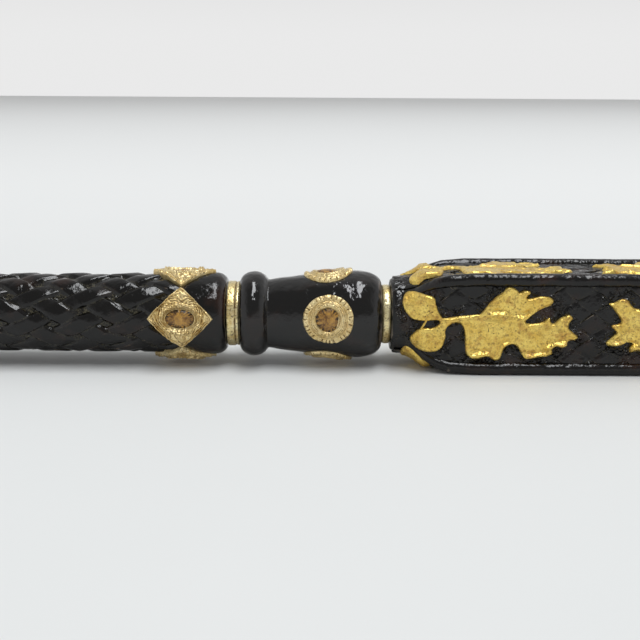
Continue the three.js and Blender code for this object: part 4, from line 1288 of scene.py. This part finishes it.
pommel_line = eased([(pommel_start + a * pommel_length, r * pommel_half) for a, r in pommel_shares], 6)
pommel = turned_body((
    [(pommel_start, stud_bore)] + [tuple(p) for p in pommel_line]
    + [(pommel_end, plate_bed_radius), (plate_bed, plate_bed_radius), (plate_bed, stud_bore)]
    + [(pommel_start, stud_bore)],
    144,
))
for v in pommel.verts:
    radius = v.co.yz.length
    if radius > 8.5:
        share = (v.co.x - pommel_start) / pommel_length
        angle = math.atan2(v.co.z, v.co.y)
        on_bead = math.exp(-((share - 0.085) / 0.055) ** 4)
        rope = 0.9 * (abs(math.sin(rope_turns * angle + 0.75 * v.co.x)) ** 0.6 - 1)
        neck_line = -0.55 * math.exp(-((share - 0.165) / 0.016) ** 2)
        uneven = 0.07 * unevenness(v.co / 5)
        v.co.yz = v.co.yz * ((radius + on_bead * rope + neck_line + uneven) / radius)
settle("turned_pommel", pommel, barrel_lacquer, ["pommel"], gain=4.0)


# The setting and stone in the pommel's end, made as the round ones on the barrel are
plate_shares = [0, 0.5, 0.56, 0.6, 0.66, 0.74, 0.78, 0.82, 0.94, 0.98, 1]
plate_radii = [0, 3.6, 3.85, 4.1, 4.6, 5.2, 5.45, 5.7, 6.7, 6.98, 7.0]
plate_rises = [-0.6, -0.6, 0.4, 1.0, 1.18, 0.9, 0.55, 0.85, 0.9, 0.5, -1.9]


def face_the_end(bm):
    """Turns an open skin's faces towards the pommel's end of the stick"""
    bm.normal_update()
    if sum(f.normal.x for f in bm.faces) < 0:
        bmesh.ops.reverse_faces(bm, faces=bm.faces)


plate = ringed_disc(144, [1 - 0.016 * i for i in range(1, 40)] + [0.34, 0.25, 0.12])
for v in plate.verts:
    share = v.co.length
    angle = math.atan2(v.co.y, v.co.x)
    radius = np.interp(share, plate_shares, plate_radii)
    spot = Vector((radius * math.cos(angle), radius * math.sin(angle), 3.0))
    grain = 0.16 * noise.fractal(spot * 1.6, 0.9, 2.1, 4)
    stroke = 0.42 * max(0.0, math.sin(24 * angle + 2 * noise.noise(v.co * 2))) ** 4
    along = pommel_end + np.interp(share, plate_shares, plate_rises)
    along += band(share, 0.56, 12, 0.97, 20) * grain - band(share, 0.8, 20, 0.97, 30) * stroke
    v.co = (along, spot.x, spot.y)
face_the_end(plate)
settle("pommel_plate", plate, pale_gilt, ["pommel_setting"], gain=2.6, crease=60)

end_stone_radius = 3.8
end_stone_rise = 1.7
end_stone = ringed_disc(72, [math.cos(math.pi / 2 * i / 20) for i in range(1, 20)])
end_stone_rim_shade = end_stone.verts.layers.float.new("stone_rim_shade")
for v in end_stone.verts:
    share = v.co.length
    dome = max(0.0, 1 - share ** 2.4) ** 0.55
    # marks the rim for painted shade where the stone dips into its setting
    v[end_stone_rim_shade] = limited((share - 0.72) / 0.26)
    v.co = (pommel_end + 0.1 + end_stone_rise * dome, end_stone_radius * v.co.x, end_stone_radius * v.co.y)
face_the_end(end_stone)
settle("pommel_pebble", end_stone, amber_glass, ["pommel_stone"])


# The steel inside: a rod through rings and barrel that joins shaft and grip, the pommel's stud,
# and the washer at the bottom of the ferrule's bore. They are bright drawn bar and stamped sheet.
def tool_lines(tree, closeness):
    """Fine lines left by a die or a lathe, with their closeness along each direction"""
    drawn_out = add(tree, "Mapping", {"Vector": own_place(tree), "Scale": closeness}).outputs["Vector"]
    return add(tree, "TexNoise", {"Vector": drawn_out, "Scale": 1.0, "Detail": 3.0}).outputs["Fac"]


def recoat(name, material):
    """Gives a solid of the frame, which is kept as it is, its finish"""
    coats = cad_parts[name].data.materials
    coats.clear()
    coats.append(material)


bright_steel, steel_tree, steel_surface = new_material("bright_steel", {"Metallic": 1.0})
draw_lines = tool_lines(steel_tree, (60, 1800, 1800))
feed(steel_tree, steel_surface, {
    "Base Color": between_colours(
        steel_tree, draw_lines, display_colour(150, 152, 155), display_colour(196, 198, 200),
    ),
    "Roughness": stretched(steel_tree, draw_lines, 0.2, 0.8, 0.25, 0.42),
})
for name in ("centre_rod", "pommel_stud", "ferrule_washer"):
    recoat(name, bright_steel)


# The foot: a brass collar that keeps the shaft's end from splitting, held by one pin. It was turned
# with a groove near either edge, and it has tarnished.
brass, brass_tree, brass_surface = new_material("collar_brass", {"Metallic": 1.0})
lathe_lines = tool_lines(brass_tree, (2600, 90, 90))
tarnish = stretched(brass_tree, noise_at(brass_tree, 150.0, 5.0, 0.6), 0.45, 0.75)
brass_colour = between_colours(
    brass_tree, lathe_lines, display_colour(186, 148, 78), display_colour(214, 180, 108),
)
browned_brass = calculated(brass_tree, "MULTIPLY", tarnish, 0.6)
feed(brass_tree, brass_surface, {
    "Base Color": between_colours(brass_tree, browned_brass, brass_colour, display_colour(104, 76, 40)),
    "Roughness": calculated(brass_tree, "ADD", calculated(brass_tree, "MULTIPLY", tarnish, 0.25), 0.24),
    "Normal": bumped(brass_tree, lathe_lines, 0.2, 0.0001),
})

collar_start = -407.7
collar_length = 13
collar_bore = 7.85
collar_section = [
    (0, 8.75), (0.15, 8.92), (0.5, 8.98), (1.6, 8.98), (1.75, 8.75), (2.1, 8.75), (2.25, 8.98), (10.6, 8.96),
    (10.75, 8.72), (11.1, 8.72), (11.25, 8.96), (12.4, 8.95), (12.8, 8.85), (collar_length, 8.6),
]
collar = turned_body((
    [(collar_start, collar_bore)] + [(collar_start + up, radius) for up, radius in collar_section]
    + [(collar_start + collar_length, collar_bore), (collar_start, collar_bore)],
    112,
))
settle("brass_collar", collar, brass, ["tip_collar"], crease=30)
recoat("collar_pin", brass)


# The ferrule: moulded rubber, pushed over the shaft's foot, with three ribs, a wide base and a
# ringed tread on the face that meets the ground
rubber, rubber_tree, rubber_surface = new_material("moulded_rubber", {"IOR": 1.5, "Specular IOR Level": 0.35})
scuffs = place_group(rubber_tree, rubbed_edges, reach=0.5)["Mask"]
chalk = stretched(rubber_tree, noise_at(rubber_tree, 210.0, 5.0, 0.65), 0.5, 0.8, 0.0, 0.5)
rubber_colour = between_colours(rubber_tree, chalk, display_colour(30, 30, 31), display_colour(66, 65, 63))
feed(rubber_tree, rubber_surface, {
    "Base Color": between_colours(rubber_tree, scuffs, rubber_colour, display_colour(92, 90, 86)),
    "Roughness": stretched(rubber_tree, chalk, 0.0, 0.5, 0.55, 0.85),
    "Normal": bumped(rubber_tree, noise_at(rubber_tree, 2600.0), 0.35, 0.0001),
})

ferrule_foot = -450.0
ferrule_length = 42
ferrule_top = ferrule_foot + ferrule_length
ferrule_bore = 7.9
bore_end = ferrule_foot + 9
sleeve_radius = 10.3
base_flare = 3.6
base_shares = [
    (0.0, 0.86), (0.006, 0.95), (0.02, 0.995), (0.05, 1), (0.14, 1), (0.165, 0.97), (0.2, 0.8), (0.25, 0.59),
    (0.3, 0.42), (0.36, 0.27), (0.42, 0.18), (0.47, 0.12),
]
rib_section = [(1.35, 0), (1.1, 0.35), (0.8, 0.72), (0.3, 0.8)]

ferrule_profile = [(ferrule_foot + 1.3, 0.0), (ferrule_foot + 1.3, 2.2)]
for ridge in (3.2, 5.6, 8.0, 10.4):
    ferrule_profile += [
        (ferrule_foot + 1.2, ridge - 0.6), (ferrule_foot + 0.1, ridge - 0.35), (ferrule_foot, ridge),
        (ferrule_foot, ridge + 0.6), (ferrule_foot + 0.1, ridge + 0.95), (ferrule_foot + 1.2, ridge + 1.2),
    ]
ferrule_profile += [
    (share * ferrule_length + ferrule_foot, sleeve_radius + rise * base_flare) for share, rise in base_shares
]
for share in (0.54, 0.68, 0.82):
    middle = ferrule_foot + share * ferrule_length
    base = sleeve_radius + base_flare * np.interp(share, [0.42, 0.97], [0.14, 0.04])
    ferrule_profile += [(middle - back, base + rise) for back, rise in rib_section]
    ferrule_profile += [(middle + ahead, base + rise) for ahead, rise in reversed(rib_section)]
ferrule_profile += [
    (ferrule_top - 1.2, 10.42), (ferrule_top - 0.3, sleeve_radius), (ferrule_top, 9.95),
    (ferrule_top, ferrule_bore), (bore_end, ferrule_bore), (bore_end, 0),
]
ferrule = turned_body((ferrule_profile, 112))
settle("moulded_ferrule", ferrule, rubber, ["rubber_ferrule"], crease=35)
